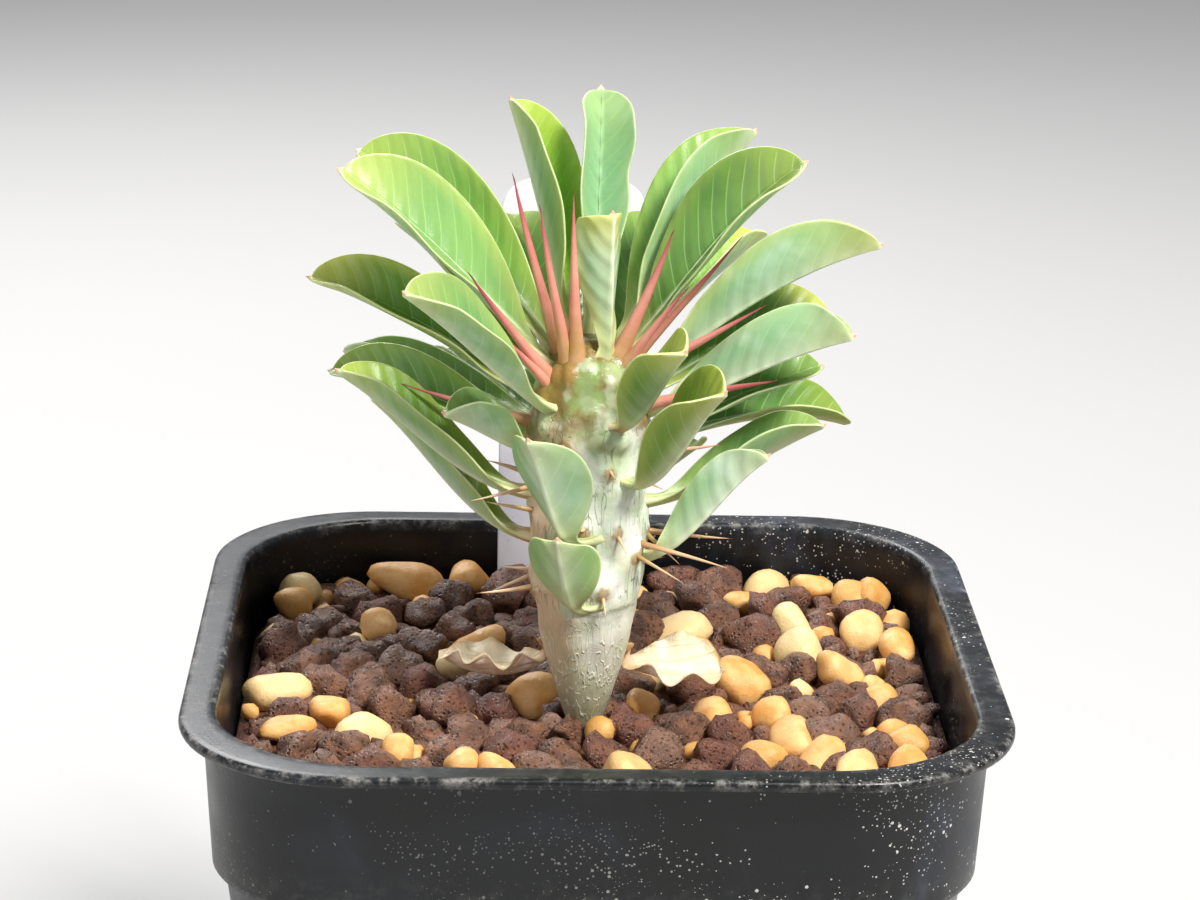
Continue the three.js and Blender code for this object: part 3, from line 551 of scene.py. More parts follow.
def makeStem(material):
    columns, rows = stemForm["columns"], stemForm["rows"]
    heights = np.linspace(stemProfile[0][0], stemProfile[-1][0], rows)
    plain = stemRadius(heights)
    kernel = np.exp(-np.linspace(-2, 2, 15) ** 2)
    padded = np.concatenate([np.full(7, plain[0]), plain, plain[-1] - np.linspace(0.1, 0.9, 7)])
    plain = np.convolve(padded, kernel / kernel.sum(), "valid")
    azGrid, zGrid = np.meshgrid(np.arange(columns) / columns * 360, heights)
    radius = np.repeat(plain[:, None], columns, axis=1)
    lift, scar, stub = np.zeros_like(radius), np.zeros_like(radius), np.zeros_like(radius)
    wide = stemForm["cushion"]
    for az, z in [row[:2] for row in leafRows + driedRows]:
        turn = np.radians((azGrid - az + 180) % 360 - 180) * radius
        near = np.exp(-(turn**2 / stemForm["cushionWide"]**2 + (zGrid - z + 0.6) ** 2 / wide**2))
        lift = np.maximum(lift, near)
        stub = np.maximum(stub, np.exp(-(turn**2 + (zGrid - z) ** 2) / wide**2))
    for az, z, _, _, thick, _ in spineRows:
        turn = np.radians((azGrid - az + 180) % 360 - 180) * radius
        lift = np.maximum(lift, 0.75 * np.exp(-(turn**2 + (zGrid - z + 0.4) ** 2) / wide**2))
        near = np.exp(-(turn**2 + ((zGrid - z + 0.7) * 0.9) ** 2) / (0.6 + thick * 0.45) ** 2)
        scar = np.maximum(scar, near)
    turns = np.radians(azGrid)
    waves = np.sin(turns * 5 + zGrid) * np.sin(turns * 8 - zGrid * 0.62)
    knob = mix(0.5, 0.7, smooth(zGrid, 100, 108))
    radius = radius - 0.2 + (knob * lift + 0.3 * scar + 0.13 * waves) * smooth(zGrid, 79, 87)
    ledge = stemForm["ledge"] + 0.9 * np.sin(turns * 2 + 0.6) + 0.4 * np.sin(turns * 5)
    radius += 0.22 * smooth(zGrid, ledge - 0.5, ledge + 0.3) - 0.1
    folds = np.sin(turns * 9 + np.sin(zGrid * 0.45) * 0.9) * 0.07
    radius += folds * smooth(zGrid, 70, 76) * (1 - smooth(zGrid, 84, 92))
    radius = np.maximum(radius, 0.25)
    x, y = stemForm["x"] + radius * np.cos(turns), stemForm["y"] + radius * np.sin(turns)
    points = np.stack([x, y, zGrid], -1).reshape(-1, 3)
    attributes = {"scar": scar.reshape(-1), "stub": stub.reshape(-1), "tall": zGrid.reshape(-1)}
    return makeObject("knobbyStem", points, tubeFaces(rows, columns), material, attributes)


def barkMaterial():
    tints = colours(silver="F2F4EC", sage="C6D4B6", tan="DCAE80", foot="B4AC84", deep="6C6A40",
                    green="728A3C", pale="F6F6E6", crack="5C6048", scar="9A7840", crown="80602E",
                    stub="B4C294")
    material, tree, place = newMaterial("fissuredBark", Subsurface_Weight=0.06, Subsurface_Scale=0.001)
    tall = attribute(tree, "tall")
    patches, grain = mottled(tree, place, 0.0045, 0.00025)
    skin = blendColour(tree, patches, tints["silver"], tints["sage"])
    # painted shade: tan laid over the stem's left side, away from the light, plus real random tan spots
    shadedLeftSide = ramp(tree, axis(tree, place, 0), -0.0005, -0.0050)
    spotty = ramp(tree, noise(tree, place, 110.0, 3.0), 0.54, 0.72, 0.0, 0.5)
    tanSpotsAndLeftShade = plusTimes(tree, shadedLeftSide, 0.9, spotty, True)
    skin = cover(tree, skin, tanSpotsAndLeftShade, 0.75, tints["tan"])
    footward = ramp(tree, tall, 80.0, 92.0, 1.0, 0.0)
    skin = cover(tree, skin, footward, 0.45, tints["foot"])
    skin = cover(tree, skin, ramp(tree, tall, 73.0, 80.0, 1.0, 0.0), 0.75, tints["deep"])
    greenUp = plusTimes(tree, patches, 5.0, tall)
    skin = cover(tree, skin, ramp(tree, greenUp, 106.0, 113.0), 0.9, tints["green"])
    browned = times(tree, ramp(tree, noise(tree, place, 240.0, 4.0), 0.4, 0.58),
                    ramp(tree, tall, 103.0, 111.0))
    skin = cover(tree, skin, browned, 0.85, tints["crown"])
    # painted highlight: small whitish patches on the crown stand for glints of light
    crownGlints = times(tree, ramp(tree, noise(tree, place, 310.0, 2.0), 0.56, 0.66),
                    ramp(tree, tall, 103.0, 109.0))
    skin = cover(tree, skin, crownGlints, 0.25, tints["pale"])
    # pale long fissures on the foot, fine dark ones above
    upward = times(tree, ramp(tree, tall, 84.0, 90.0), ramp(tree, tall, 107.0, 111.0, 1.0, 0.0))
    fine = streaked(tree, place, 0.00034, 9.0, 0.03)
    long = streaked(tree, place, 0.0003, 26.0, 0.05)
    here = ramp(tree, noise(tree, place, 200.0, 2.0), 0.4, 0.6)
    fineMask = times(tree, times(tree, fine, here), upward)
    longMask = times(tree, long, footward)
    skin = cover(tree, skin, fineMask, 0.6, tints["crack"])
    skin = cover(tree, skin, longMask, 0.5, tints["pale"])
    ragged = plusTimes(tree, noise(tree, place, 900.0, 3.0), 1.2, attribute(tree, "scar"))
    skin = cover(tree, skin, ramp(tree, ragged, 0.85, 1.35), 0.8, tints["scar"])
    skin = cover(tree, skin, ramp(tree, attribute(tree, "stub"), 0.35, 0.8), 0.55, tints["stub"])
    rough = ramp(tree, tall, 103.0, 112.0, 0.46, 0.22)
    height = plusTimes(tree, mathNode(tree, "SUBTRACT", longMask, fineMask), 0.9, times(tree, grain, 0.3))
    height = plusTimes(tree, patches, 0.35, height)
    lumpy = times(tree, noise(tree, place, 330.0, 2.0), ramp(tree, tall, 104.0, 111.0, 0.6, 3.2))
    height = mathNode(tree, "ADD", lumpy, height)
    return paint(material, skin, rough, height, 0.5, 0.0004)


def spineMaterial():
    material, tree, place = newMaterial("spineHorn", Subsurface_Weight=0.15,
                                        Subsurface_Radius=(1.0, 0.4, 0.25), Subsurface_Scale=0.001)
    red, share = attribute(tree, "red"), attribute(tree, "share")
    patches, grain = mottled(tree, place, 0.0025, 0.0003)
    tan = blendColour(tree, ramp(tree, share, 0.05, 0.6), colour("A07C44"), colour("E0BE94"))
    coral = blendColour(tree, ramp(tree, share, 0.04, 0.34), colour("B0894E"), colour("D6877A"))
    coral = cover(tree, coral, patches, 0.35, colour("E6AC98"))
    coral = blendColour(tree, ramp(tree, share, 0.45, 0.95), coral, colour("B04A5A"))
    skin = blendColour(tree, red, tan, coral)
    skin = blendColour(tree, ramp(tree, share, 0.93, 1.0), skin, colour("5E2420"))
    return paint(material, skin, 0.36, grain, 0.2, 0.0002)


def newField(name, sockets):  # a Geometry Nodes tree with named inputs
    tree = bpy.data.node_groups.new(name, "GeometryNodeTree")
    tree.interface.new_socket(name="Geometry", in_out="INPUT", socket_type="NodeSocketGeometry")
    for label, value in sockets.items():
        kind = "NodeSocketInt" if isinstance(value, int) else "NodeSocketFloat"
        tree.interface.new_socket(name=label, in_out="INPUT", socket_type=kind).default_value = value
    tree.interface.new_socket(name="Geometry", in_out="OUTPUT", socket_type="NodeSocketGeometry")
    return tree, tree.nodes.new("NodeGroupInput").outputs, tree.nodes.new("NodeGroupOutput").inputs[0]


def named(tree, key, kind="FLOAT_VECTOR"):
    return addNode(tree, "GeometryNodeInputNamedAttribute", {"Name": key}, data_type=kind).outputs[0]


def closeField(tree, geometry, material, result):
    shaded = addNode(tree, "GeometryNodeSetShadeSmooth", {0: geometry})
    painted = addNode(tree, "GeometryNodeSetMaterial",
                      {"Geometry": shaded.outputs[0], "Material": material})
    tree.links.new(painted.outputs[0], result)
    return tree


# Geometry Nodes: a tapered, bent horn is set on each point of a cloud
def hornTree(material):
    sockets = {"Sides": 10, "Steps": 12, "Bend": 0.05, "Tip": 0.1, "Flare": 0.5}
    tree, given, result = newField("spineField", sockets)
    line = addNode(tree, "GeometryNodeMeshLine", {"Count": given["Steps"], "Offset": (0, 0, 1.0)},
                   mode="END_POINTS")
    index = tree.nodes.new("GeometryNodeInputIndex").outputs[0]
    share = mathNode(tree, "DIVIDE", index, mathNode(tree, "SUBTRACT", given["Steps"], 1.0))
    bentX = times(tree, times(tree, share, share), given["Bend"])
    shift = addNode(tree, "ShaderNodeCombineXYZ", {0: bentX}).outputs[0]
    bentLine = addNode(tree, "GeometryNodeSetPosition", {"Geometry": line.outputs[0], "Offset": shift})
    stored = addNode(tree, "GeometryNodeStoreNamedAttribute",
                     {"Geometry": bentLine.outputs[0], "Name": "share", "Value": share}, data_type="FLOAT")
    curve = addNode(tree, "GeometryNodeMeshToCurve", {0: stored.outputs[0]})
    rest = mathNode(tree, "SUBTRACT", 1.0, share)
    foot = times(tree, mathNode(tree, "POWER", rest, 9.0), given["Flare"])
    taper = mathNode(tree, "ADD", mathNode(tree, "POWER", rest, 0.9), foot)
    radius = mathNode(tree, "MAXIMUM", taper, given["Tip"])
    ring = addNode(tree, "GeometryNodeCurvePrimitiveCircle", {"Resolution": given["Sides"], "Radius": 0.5})
    horn = addNode(tree, "GeometryNodeCurveToMesh",
                   {"Curve": curve.outputs[0], "Profile Curve": ring.outputs[0], "Scale": radius,
                    "Fill Caps": True})
    spread = addNode(tree, "GeometryNodeInstanceOnPoints",
                     {"Points": given["Geometry"], "Instance": horn.outputs[0],
                      "Rotation": named(tree, "turn"), "Scale": named(tree, "size")})
    real = addNode(tree, "GeometryNodeRealizeInstances", {0: spread.outputs[0]})
    return closeField(tree, real.outputs[0], material, result)


def runTree(name, points, attributes, tree, values):
    cloud = bpy.data.meshes.new(name + "Cloud")
    cloud.from_pydata([tuple(p) for p in np.asarray(points) * mm], [], [])
    for key, rows in attributes.items():
        rows = np.asarray(rows)
        kind = "FLOAT_VECTOR" if rows.ndim == 2 else "INT" if rows.dtype.kind == "i" else "FLOAT"
        layer = cloud.attributes.new(key, kind, "POINT")
        rows = rows.astype(np.int32 if kind == "INT" else np.float32)
        layer.data.foreach_set("vector" if rows.ndim == 2 else "value", rows.reshape(-1))
    holder = link(bpy.data.objects.new(name + "Cloud", cloud))
    modifier = holder.modifiers.new("field", "NODES")
    modifier.node_group = tree
    for item in tree.interface.items_tree:
        if item.in_out == "INPUT" and item.name in values:
            modifier[item.identifier] = values[item.name]
    bpy.context.view_layer.update()
    seen = holder.evaluated_get(bpy.context.evaluated_depsgraph_get())
    mesh = bpy.data.meshes.new_from_object(seen)
    mesh.name = name
    holder.modifiers.remove(modifier)
    bpy.data.objects.remove(holder)
    return link(bpy.data.objects.new(name, mesh))


spineForm = {"inset": 1.2, "thicker": 1.3, "Sides": 10, "Steps": 16, "Bend": 0.5, "Tip": 0.07, "Flare": 0.6}


def makeSpines(material):
    points, turns, sizes = [], [], []
    for number, (az, z, rise, long, thick, _) in enumerate(spineRows):
        points.append(onStem(az, z, spineForm["inset"]))
        roll = Matrix.Rotation(draw(number) * fullTurn, 3, "Z").to_quaternion()
        turns.append(tuple((Vector(sloped(az, rise)).to_track_quat("Z", "X") @ roll).to_euler()))
        wide = thick * spineForm["thicker"] * mm
        sizes.append((wide, wide, long * mm))
    attributes = {"turn": turns, "size": sizes, "red": [row[5] for row in spineRows]}
    return runTree("crownSpines", points, attributes, hornTree(material), spineForm)


fissuredBark = barkMaterial()
spineHorn = spineMaterial()
stem = makeStem(fissuredBark)
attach(stem, "root")
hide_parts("stem")
spines = makeSpines(spineHorn)
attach(spines, "root")
print("stem", len(stem.data.polygons), "spines", len(spines.data.polygons))


potForm = {"width": 90, "height": 80, "rimCorner": 20, "lipReach": 2.4, "lipThick": 1.3, "wall": 1.5,
           "shoulder": 62.5, "shoulderStep": 1.2, "base": 66, "foot": 2.5, "floor": 1.8, "drain": 3.6,
           "cornerSteps": 18, "drainPlaces": ((0, 0), (18, 18), (-18, 18), (-18, -18), (18, -18))}
wallTop = potForm["width"] / 2 - potForm["lipReach"]
bandFoot = wallTop - 0.9
bodyTop = bandFoot - potForm["shoulderStep"]
bodySlope = (bodyTop - potForm["base"] / 2) / (potForm["shoulder"] - potForm["foot"])


def outsideHalf(z):
    if z > potForm["shoulder"]:
        bandHigh = potForm["height"] - potForm["shoulder"]
        return bandFoot + (wallTop - bandFoot) * (z - potForm["shoulder"]) / bandHigh
    return potForm["base"] / 2 + bodySlope * max(0, z - potForm["foot"])


def cornerAt(half):
    return potForm["rimCorner"] * half / (potForm["width"] / 2) * 0.96


def roundSquare(half, corner, z, steps, sideSteps=6):
    loop = []
    middle = half - corner
    centres = ((middle, middle), (-middle, middle), (-middle, -middle), (middle, -middle), (middle, middle))
    for quarter, (cx, cy) in enumerate(centres[:4]):
        for i in range(steps + 1):
            angle = (quarter + i / steps) * math.pi / 2
            loop.append((cx + corner * math.cos(angle), cy + corner * math.sin(angle), z))
        here = np.array(loop[-1])
        turned = (quarter + 1) * math.pi / 2
        nextX, nextY = centres[quarter + 1]
        there = np.array([nextX + corner * math.cos(turned), nextY + corner * math.sin(turned), z])
        for i in range(1, sideSteps):
            loop.append(tuple(here + (there - here) * i / sideSteps))
    return loop


def makePot(material):
    half, height, wall = potForm["width"] / 2, potForm["height"], potForm["wall"]
    foot, shoulder = potForm["base"] / 2 - 1.2, potForm["shoulder"]
    lipFoot = height - potForm["lipThick"]
    floorTop = potForm["foot"] + potForm["floor"]
    base, step, band, inside = potForm["base"] / 2, potForm["foot"], outsideHalf(lipFoot), wallTop - wall
    rings = [  # half width, height, wear, which along the lip edges is partly painted highlight
        (0.5, floorTop - potForm["floor"], 0), (foot - 6, step, 0), (foot - 2.3, step, 0),
        (foot - 2, step - 0.3, 0), (foot - 2, 0.25, 0.3), (foot - 1.8, 0, 0.6), (foot - 0.2, 0, 0.6),
        (foot, 0.25, 0.4), (foot, step - 0.2, 0), (foot + 0.15, step, 0), (base - 0.5, step, 0.2),
        (base - 0.2, step + 0.4, 0.4), (outsideHalf(6), 6, 0.1), (outsideHalf(14), 14, 0),
        (outsideHalf(26), 26, 0), (outsideHalf(38), 38, 0), (outsideHalf(50), 50, 0),
        (outsideHalf(shoulder - 2), shoulder - 2, 0), (outsideHalf(shoulder - 0.8), shoulder - 0.8, 0),
        (bodyTop + 0.25, shoulder - 0.35, 0), (bandFoot - 0.2, shoulder, 0.5),
        (bandFoot, shoulder + 0.3, 0.5), (bandFoot + 0.02, shoulder + 0.9, 0.1), (outsideHalf(68), 68, 0),
        (outsideHalf(74), 74, 0), (band - 0.02, lipFoot - 1.2, 0), (band + 0.15, lipFoot - 0.35, 0),
        (band + 0.6, lipFoot - 0.05, 0), (half - 0.5, lipFoot, 0.1), (half - 0.12, lipFoot + 0.15, 0.5),
        (half, lipFoot + 0.45, 0.35), (half, lipFoot + 0.85, 0.5), (half - 0.12, height - 0.2, 1),
        (half - 0.35, height - 0.03, 0.8), (half - 0.9, height, 0.15), (wallTop - 0.2, height - 0.02, 0.1),
        (inside + 0.6, height - 0.02, 0.4), (inside + 0.2, height - 0.15, 0.9),
        (inside + 0.02, height - 0.6, 0.3), (inside, height - 1.6, 0), (inside - 0.3, 72, 0),
        (bandFoot - wall, shoulder + 1, 0), (outsideHalf(shoulder - 0.8) - wall, shoulder - 0.8, 0),
        (outsideHalf(40) - wall, 40, 0), (outsideHalf(20) - wall, 20, 0), (outsideHalf(6) - wall, 6.5, 0),
        (base - wall - 0.3, floorTop + 0.6, 0), (base - wall - 1, floorTop, 0), (foot - 6, floorTop, 0),
        (0.5, floorTop, 0)]
    points, wearAndGlint, steps = [], [], potForm["cornerSteps"]
    for halfWidth, z, wornAndLit in rings:
        ring = roundSquare(halfWidth, cornerAt(halfWidth), z, steps)
        points += ring
        wearAndGlint += [wornAndLit] * len(ring)
    faces = tubeFaces(len(rings), len(points) // len(rings))
    pot = makeObject("nurseryPot", points, faces, material, {"wearAndGlint": wearAndGlint})
    cutters = []
    for x, y in potForm["drainPlaces"]:
        bpy.ops.mesh.primitive_cylinder_add(vertices=40, radius=potForm["drain"] * mm, depth=8 * mm,
                                            location=(x * mm, y * mm, potForm["foot"] * mm))
        cutters.append(bpy.context.object)
    for cutter in cutters:
        modifier = pot.modifiers.new("drain", "BOOLEAN")
        modifier.operation, modifier.object, modifier.solver = "DIFFERENCE", cutter, "EXACT"
    bpy.context.view_layer.update()
    mesh = bpy.data.meshes.new_from_object(pot.evaluated_get(bpy.context.evaluated_depsgraph_get()))
    for modifier in list(pot.modifiers):
        pot.modifiers.remove(modifier)
    pot.data = mesh
    for cutter in cutters:
        bpy.data.objects.remove(cutter)
    return pot


def plasticMaterial():
    material, tree, place = newMaterial("blackMouldedPlastic", IOR=1.42)
    patches, grain = mottled(tree, place, 0.012, 0.0005)
    fineSpecks, film = dusted(tree, place, 0.00013, 1.0)
    coarseSpecks = dusted(tree, place, 0.00026, 0.3)[0]
    rightward = ramp(tree, axis(tree, place, 0), -0.012, 0.03, 0.2, 1.0)
    scuffsAndGlints = ramp(tree, noise(tree, place, 500.0, 6.0, 0.75), 0.45, 0.66)
    wornAndLit = times(tree, attribute(tree, "wearAndGlint"), scuffsAndGlints)
    smear = streaked(tree, place, 0.006, 5.0, 0.09)
    base = blendColour(tree, patches, colour("08090A"), colour("0F1114"))
    # partly real dust film and partly painted sheen: a bluish haze on the right side, where light grazes the
    # wall
    filmAndSheen = times(tree, film, rightward)
    filmAndSheen = times(tree, filmAndSheen, plusTimes(tree, smear, 0.5, 0.5))
    base = cover(tree, base, filmAndSheen, 0.3, colour("6C7690"))
    specks = mathNode(tree, "MAXIMUM", times(tree, fineSpecks, 0.6), times(tree, coarseSpecks, 0.75))
    specks = times(tree, specks, rightward)
    base = blendColour(tree, specks, base, colour("D5D3CE"))
    # pale grey on the edges: real wear at the foot and shoulder, partly painted highlight along the lip
    base = cover(tree, base, wornAndLit, 0.6, colour("A8A59E"))
    rough = plusTimes(tree, patches, 0.12, 0.27)
    rough = plusTimes(tree, wornAndLit, 0.3, rough)
    rough = plusTimes(tree, mathNode(tree, "MAXIMUM", specks, filmAndSheen), 0.3, rough, True)
    height = plusTimes(tree, specks, 0.5, times(tree, grain, 0.3))
    return paint(material, base, rough, height, 0.25, 0.0003)


blackPlastic = plasticMaterial()
pot = makePot(blackPlastic)
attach(pot, "root")
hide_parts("pot")
print("pot", len(pot.data.polygons))


soilForm = {"level": 72, "tilt": 0.035, "cornerMiddle": 23.3, "cornerRadius": 17, "rings": 26, "sink": 1.2,
            "rough": 0.5}
# drift: how far a lump may be moved in from the wall. ochre: right of this x, the share there and elsewhere.
largeForm = {"pitch": 5.9, "jitter": 1.8, "least": 4.9, "spread": 2, "drift": 1.2, "firstSeed": 0,
             "shape": (1, 0.86, 0.84), "ochre": (6, 0.2, 0.07), "sink": 0.35, "uneven": 1.6, "grow": 1.04}
smallForm = {"pitch": 2.4, "jitter": 1.4, "least": 2.2, "spread": 2.3, "drift": 0.8, "firstSeed": 20000,
             "shape": (1, 0.85, 0.8), "ochre": (4, 0.34, 0.22), "sink": 0.7, "taken": 0.42, "stemGap": 2.6}
collarForm = {"count": 9, "least": 2.9, "spread": 1.5, "away": 2.5, "ochre": (2, 7), "firstSeed": 700}
stoneForm = {"firstSeed": 900, "half": 0.58, "grow": (1.08, 1.05), "raise": 0.5, "near": 0.28,
             "clear": 1.2}
stoneRows = [  # x, y, length, width and turn of the stones that are placed as in the photo
    (-36.5, -1, 7, 5, 10), (-34.5, -11, 6.5, 3.5, 25), (-30, -6, 5.5, 4, 60), (-6.5, -1, 6, 5.5, 0),
    (17.3, 3.5, 5.4, 6, 80), (13, 10.5, 5, 4.5, 20), (5.5, -4, 4.2, 4.2, 0), (11.5, 19.5, 8, 4, 20),
    (19, 29, 5.5, 3.5, 10), (25, 12.5, 5.5, 5.5, 0), (29, 7, 5.5, 4.5, 0), (24.5, 21.5, 4.5, 4.5, 30),
    (33, 20, 6, 4.5, 50), (36.5, 32, 5, 4.5, 0), (38.2, 14, 4, 6, 0), (35, -13.5, 4.5, 4, 0),
    (-14.5, -21, 4.6, 4.2, 40), (-11, -22, 4, 3.6, 0), (-37.5, 33, 4.6, 4.6, 0), (-35.5, 27, 4.5, 5, 0),
    (-21.5, 36.5, 9, 5.2, -15), (-14.5, 36, 5, 5.5, 40), (-25, 19, 4.5, 4.5, 0),
    (-21.5, -17.5, 3.4, 3.4, 0), (-15.8, 8, 4, 4, 0), (20.5, -6.5, 4.4, 3.6, 0), (28, 34, 4.5, 4, 0),
    (32.5, 30.5, 4.2, 4.2, 0),
]


def soilAt(y):
    return soilForm["level"] + soilForm["tilt"] * (y - stemForm["y"])


def keepInside(x, y, half):
    limit = wallTop - potForm["wall"] - 0.75 - half
    corner, radius = soilForm["cornerMiddle"], soilForm["cornerRadius"]
    inX, inY = max(-limit, min(limit, x)), max(-limit, min(limit, y))
    overX, overY = max(0, abs(inX) - corner), max(0, abs(inY) - corner)
    over = math.hypot(overX, overY)
    pull = (radius - half) / over if over + half > radius else 1
    return inX + math.copysign(overX, inX) * (pull - 1), inY + math.copysign(overY, inY) * (pull - 1)


# Lumps of a jittered grid that fit in the pot: wanted place, place kept off the wall, size and seed
def looseGrid(form):
    reach, pitch, jitter = wallTop - potForm["wall"] - 1.2, form["pitch"], form["jitter"]
    count = int(2 * reach / pitch) + 2
    for row in range(count):
        for column in range(count):
            seed = form["firstSeed"] + row * 100 + column
            x = -reach + (column + 0.5 * (row % 2)) * pitch + (draw(seed) - 0.5) * jitter
            y = -reach + row * pitch + (draw(seed + 0.5) - 0.5) * jitter
            size = form["least"] + form["spread"] * draw(seed + 0.7)
            inX, inY = keepInside(x, y, size * 0.6)
            if math.hypot(x - inX, y - inY) <= form["drift"]:
                yield x, y, inX, inY, size, seed


def stoneSize(form, size):
    return tuple(size * share for share in form["shape"])


def isOchre(form, x, value):
    right, there, elsewhere = form["ochre"]
    return int(value < (there if x > right else elsewhere))


def gravelPlaces():  # x, y, z, sizes, turn, seed and whether ochre, of the large and of the small lumps
    large, small = [], []
    long, tall = stoneForm["grow"]
    for number, (wantX, wantY, length, width, turn) in enumerate(stoneRows):
        x, y = keepInside(wantX, wantY, max(length, width) * stoneForm["half"])
        size = (length * long, width * long, min(length, width) * tall)
        seed = stoneForm["firstSeed"] + number
        large.append((x, y, soilAt(y) + stoneForm["raise"], size, math.radians(turn), seed, 1))
    for x, y, inX, inY, size, seed in looseGrid(largeForm):
        if any(math.hypot(x - s[0], y - s[1]) < (s[2] + s[3]) * stoneForm["near"] + stoneForm["clear"]
               for s in stoneRows):
            continue
        z = soilAt(y) - largeForm["sink"] + largeForm["uneven"] * (draw(seed + 0.9) - 0.5)
        ochre = isOchre(largeForm, x, draw(seed + 0.15))
        size *= largeForm["grow"]
        large.append((inX, inY, z, stoneSize(largeForm, size), draw(seed) * 6, seed, ochre))
    taken = [(place[0], place[1], (place[3][0] + place[3][1]) * 0.24) for place in large]
    for k in range(collarForm["count"]):  # a collar of lumps round the foot of the stem
        angle = k / collarForm["count"] * fullTurn + 0.4 * draw(k + 0.3)
        size = collarForm["least"] + collarForm["spread"] * draw(k + 0.6)
        away = collarForm["away"] + size * 0.5
        x, y = stemForm["x"] + away * math.cos(angle), stemForm["y"] + away * math.sin(angle)
        ochre, seed = int(k in collarForm["ochre"]), collarForm["firstSeed"] + k
        small.append((x, y, soilAt(y) + stoneForm["raise"], stoneSize(smallForm, size), angle, seed, ochre))
        taken.append((x, y, size * smallForm["taken"]))
    for x, y, inX, inY, size, seed in looseGrid(smallForm):  # these settle between and under the large ones
        gap = min(math.hypot(x - tx, y - ty) - tr for tx, ty, tr in taken)
        stemGap = math.hypot(x - stemForm["x"], y - stemForm["y"]) - smallForm["stemGap"]
        if gap < size * 0.12 or stemGap < size * 0.5:
            continue
        z = soilAt(y) - smallForm["sink"] - size * 0.12 + 0.36 * min(1.5, gap)
        ochre = isOchre(smallForm, x, draw(seed + 0.2))
        small.append((inX, inY, z, stoneSize(smallForm, size), draw(seed) * 6, seed, ochre))
        taken.append((inX, inY, size * smallForm["taken"]))
    return large, small


lumpForm = {"planes": 11, "farthest": 0.62, "size": 0.6}


# One angular lump: a ball cut by soft planes, sharp for lava and soft for a worn stone
def makeLump(name, seed, fineness, sharp, flat):
    form = bmesh.new()
    bmesh.ops.create_icosphere(form, subdivisions=fineness, radius=1.0)
    planes = []
    for k in range(lumpForm["planes"]):
        up, around = 2 * draw(seed + k * 1.7) - 1, draw(seed + k * 2.9 + 0.4) * fullTurn
        ring = math.sqrt(1 - up * up)
        planes.append((Vector((ring * math.cos(around), ring * math.sin(around), up)),
                       mix(flat, lumpForm["farthest"], draw(seed + k * 3.3 + 0.8))))
    for vertex in form.verts:
        aim = vertex.co.normalized()
        total = sum(max(0.0, aim.dot(plane) / far) ** sharp for plane, far in planes) + 1.0
        vertex.co = aim * lumpForm["size"] * total ** (-1 / sharp)
    mesh = bpy.data.meshes.new(name)
    form.to_mesh(mesh)
    form.free()
    return bpy.data.objects.new(name, mesh)


# Geometry Nodes: one of several lumps on each point, pushed in and out by noise so that no two are alike
def gravelTree(name, material, lumps):
    tree, given, result = newField(name, {"Chunky": 0.001, "Chunk Scale": 300.0, "Pitted": 0.0002,
                                          "Pit Scale": 1500.0})
    kinds = tree.nodes.new("GeometryNodeGeometryToInstance")
    for lump in lumps:
        shape = addNode(tree, "GeometryNodeObjectInfo", {"Object": lump})
        tree.links.new(shape.outputs["Geometry"], kinds.inputs[0])
    spread = addNode(tree, "GeometryNodeInstanceOnPoints",
                     {"Points": given["Geometry"], "Instance": kinds.outputs[0], "Pick Instance": True,
                      "Instance Index": named(tree, "kind", "INT"), "Rotation": named(tree, "turn"),
                      "Scale": named(tree, "size")})
    real = addNode(tree, "GeometryNodeRealizeInstances", {0: spread.outputs[0]})
    position = tree.nodes.new("GeometryNodeInputPosition").outputs[0]
    normal = tree.nodes.new("GeometryNodeInputNormal").outputs[0]
    chunks = addNode(tree, "ShaderNodeTexNoise", {"Vector": position, "W": named(tree, "seed", "FLOAT"),
                                                  "Scale": given["Chunk Scale"], "Detail": 2.0},
                     noise_dimensions="4D").outputs[0]
    pits = addNode(tree, "ShaderNodeTexNoise", {"Vector": position, "Scale": given["Pit Scale"],
                                                "Detail": 2.0}).outputs[0]
    push = times(tree, mathNode(tree, "SUBTRACT", chunks, 0.5), given["Chunky"])
    push = plusTimes(tree, mathNode(tree, "SUBTRACT", pits, 0.5), given["Pitted"], push)
    offset = addNode(tree, "ShaderNodeVectorMath", {0: normal, "Scale": push}, operation="SCALE").outputs[0]
    moved = addNode(tree, "GeometryNodeSetPosition", {"Geometry": real.outputs[0], "Offset": offset})
    return closeField(tree, moved.outputs[0], material, result)


lavaForm = {"sharp": 16, "flat": 0.74, "kinds": 9, "tumble": 1.4, "Chunky": 0.003, "Chunk Scale": 380.0,
            "Pitted": 0.0009, "Pit Scale": 1000.0}
ochreForm = {"sharp": 7, "flat": 0.88, "kinds": 7, "tumble": 0.8, "Chunky": 0.0014, "Chunk Scale": 190.0,
             "Pitted": 0.0001, "Pit Scale": 900.0}


def makeGravel(name, rows, material, form, fineness):
    lumps = [makeLump(f"{name}Kind{k}", 31 * k + 5, fineness, form["sharp"], form["flat"])
             for k in range(form["kinds"])]
    tumble, seeds = form["tumble"], [row[5] for row in rows]
    attributes = {
        "turn": [((draw(n + 0.3) - 0.5) * tumble, (draw(n + 0.6) - 0.5) * tumble, row[4])
                 for n, row in zip(seeds, rows)],
        "size": [tuple(v * mm for v in row[3]) for row in rows],
        "seed": [draw(n + 0.11) * 40 for n in seeds],
        "kind": [int(draw(n + 0.77) * form["kinds"]) for n in seeds]}
    tree = gravelTree(name + "Field", material, lumps)
    gravel = runTree(name, [row[:3] for row in rows], attributes, tree, form)
    for lump in lumps:
        bpy.data.objects.remove(lump)
    return gravel


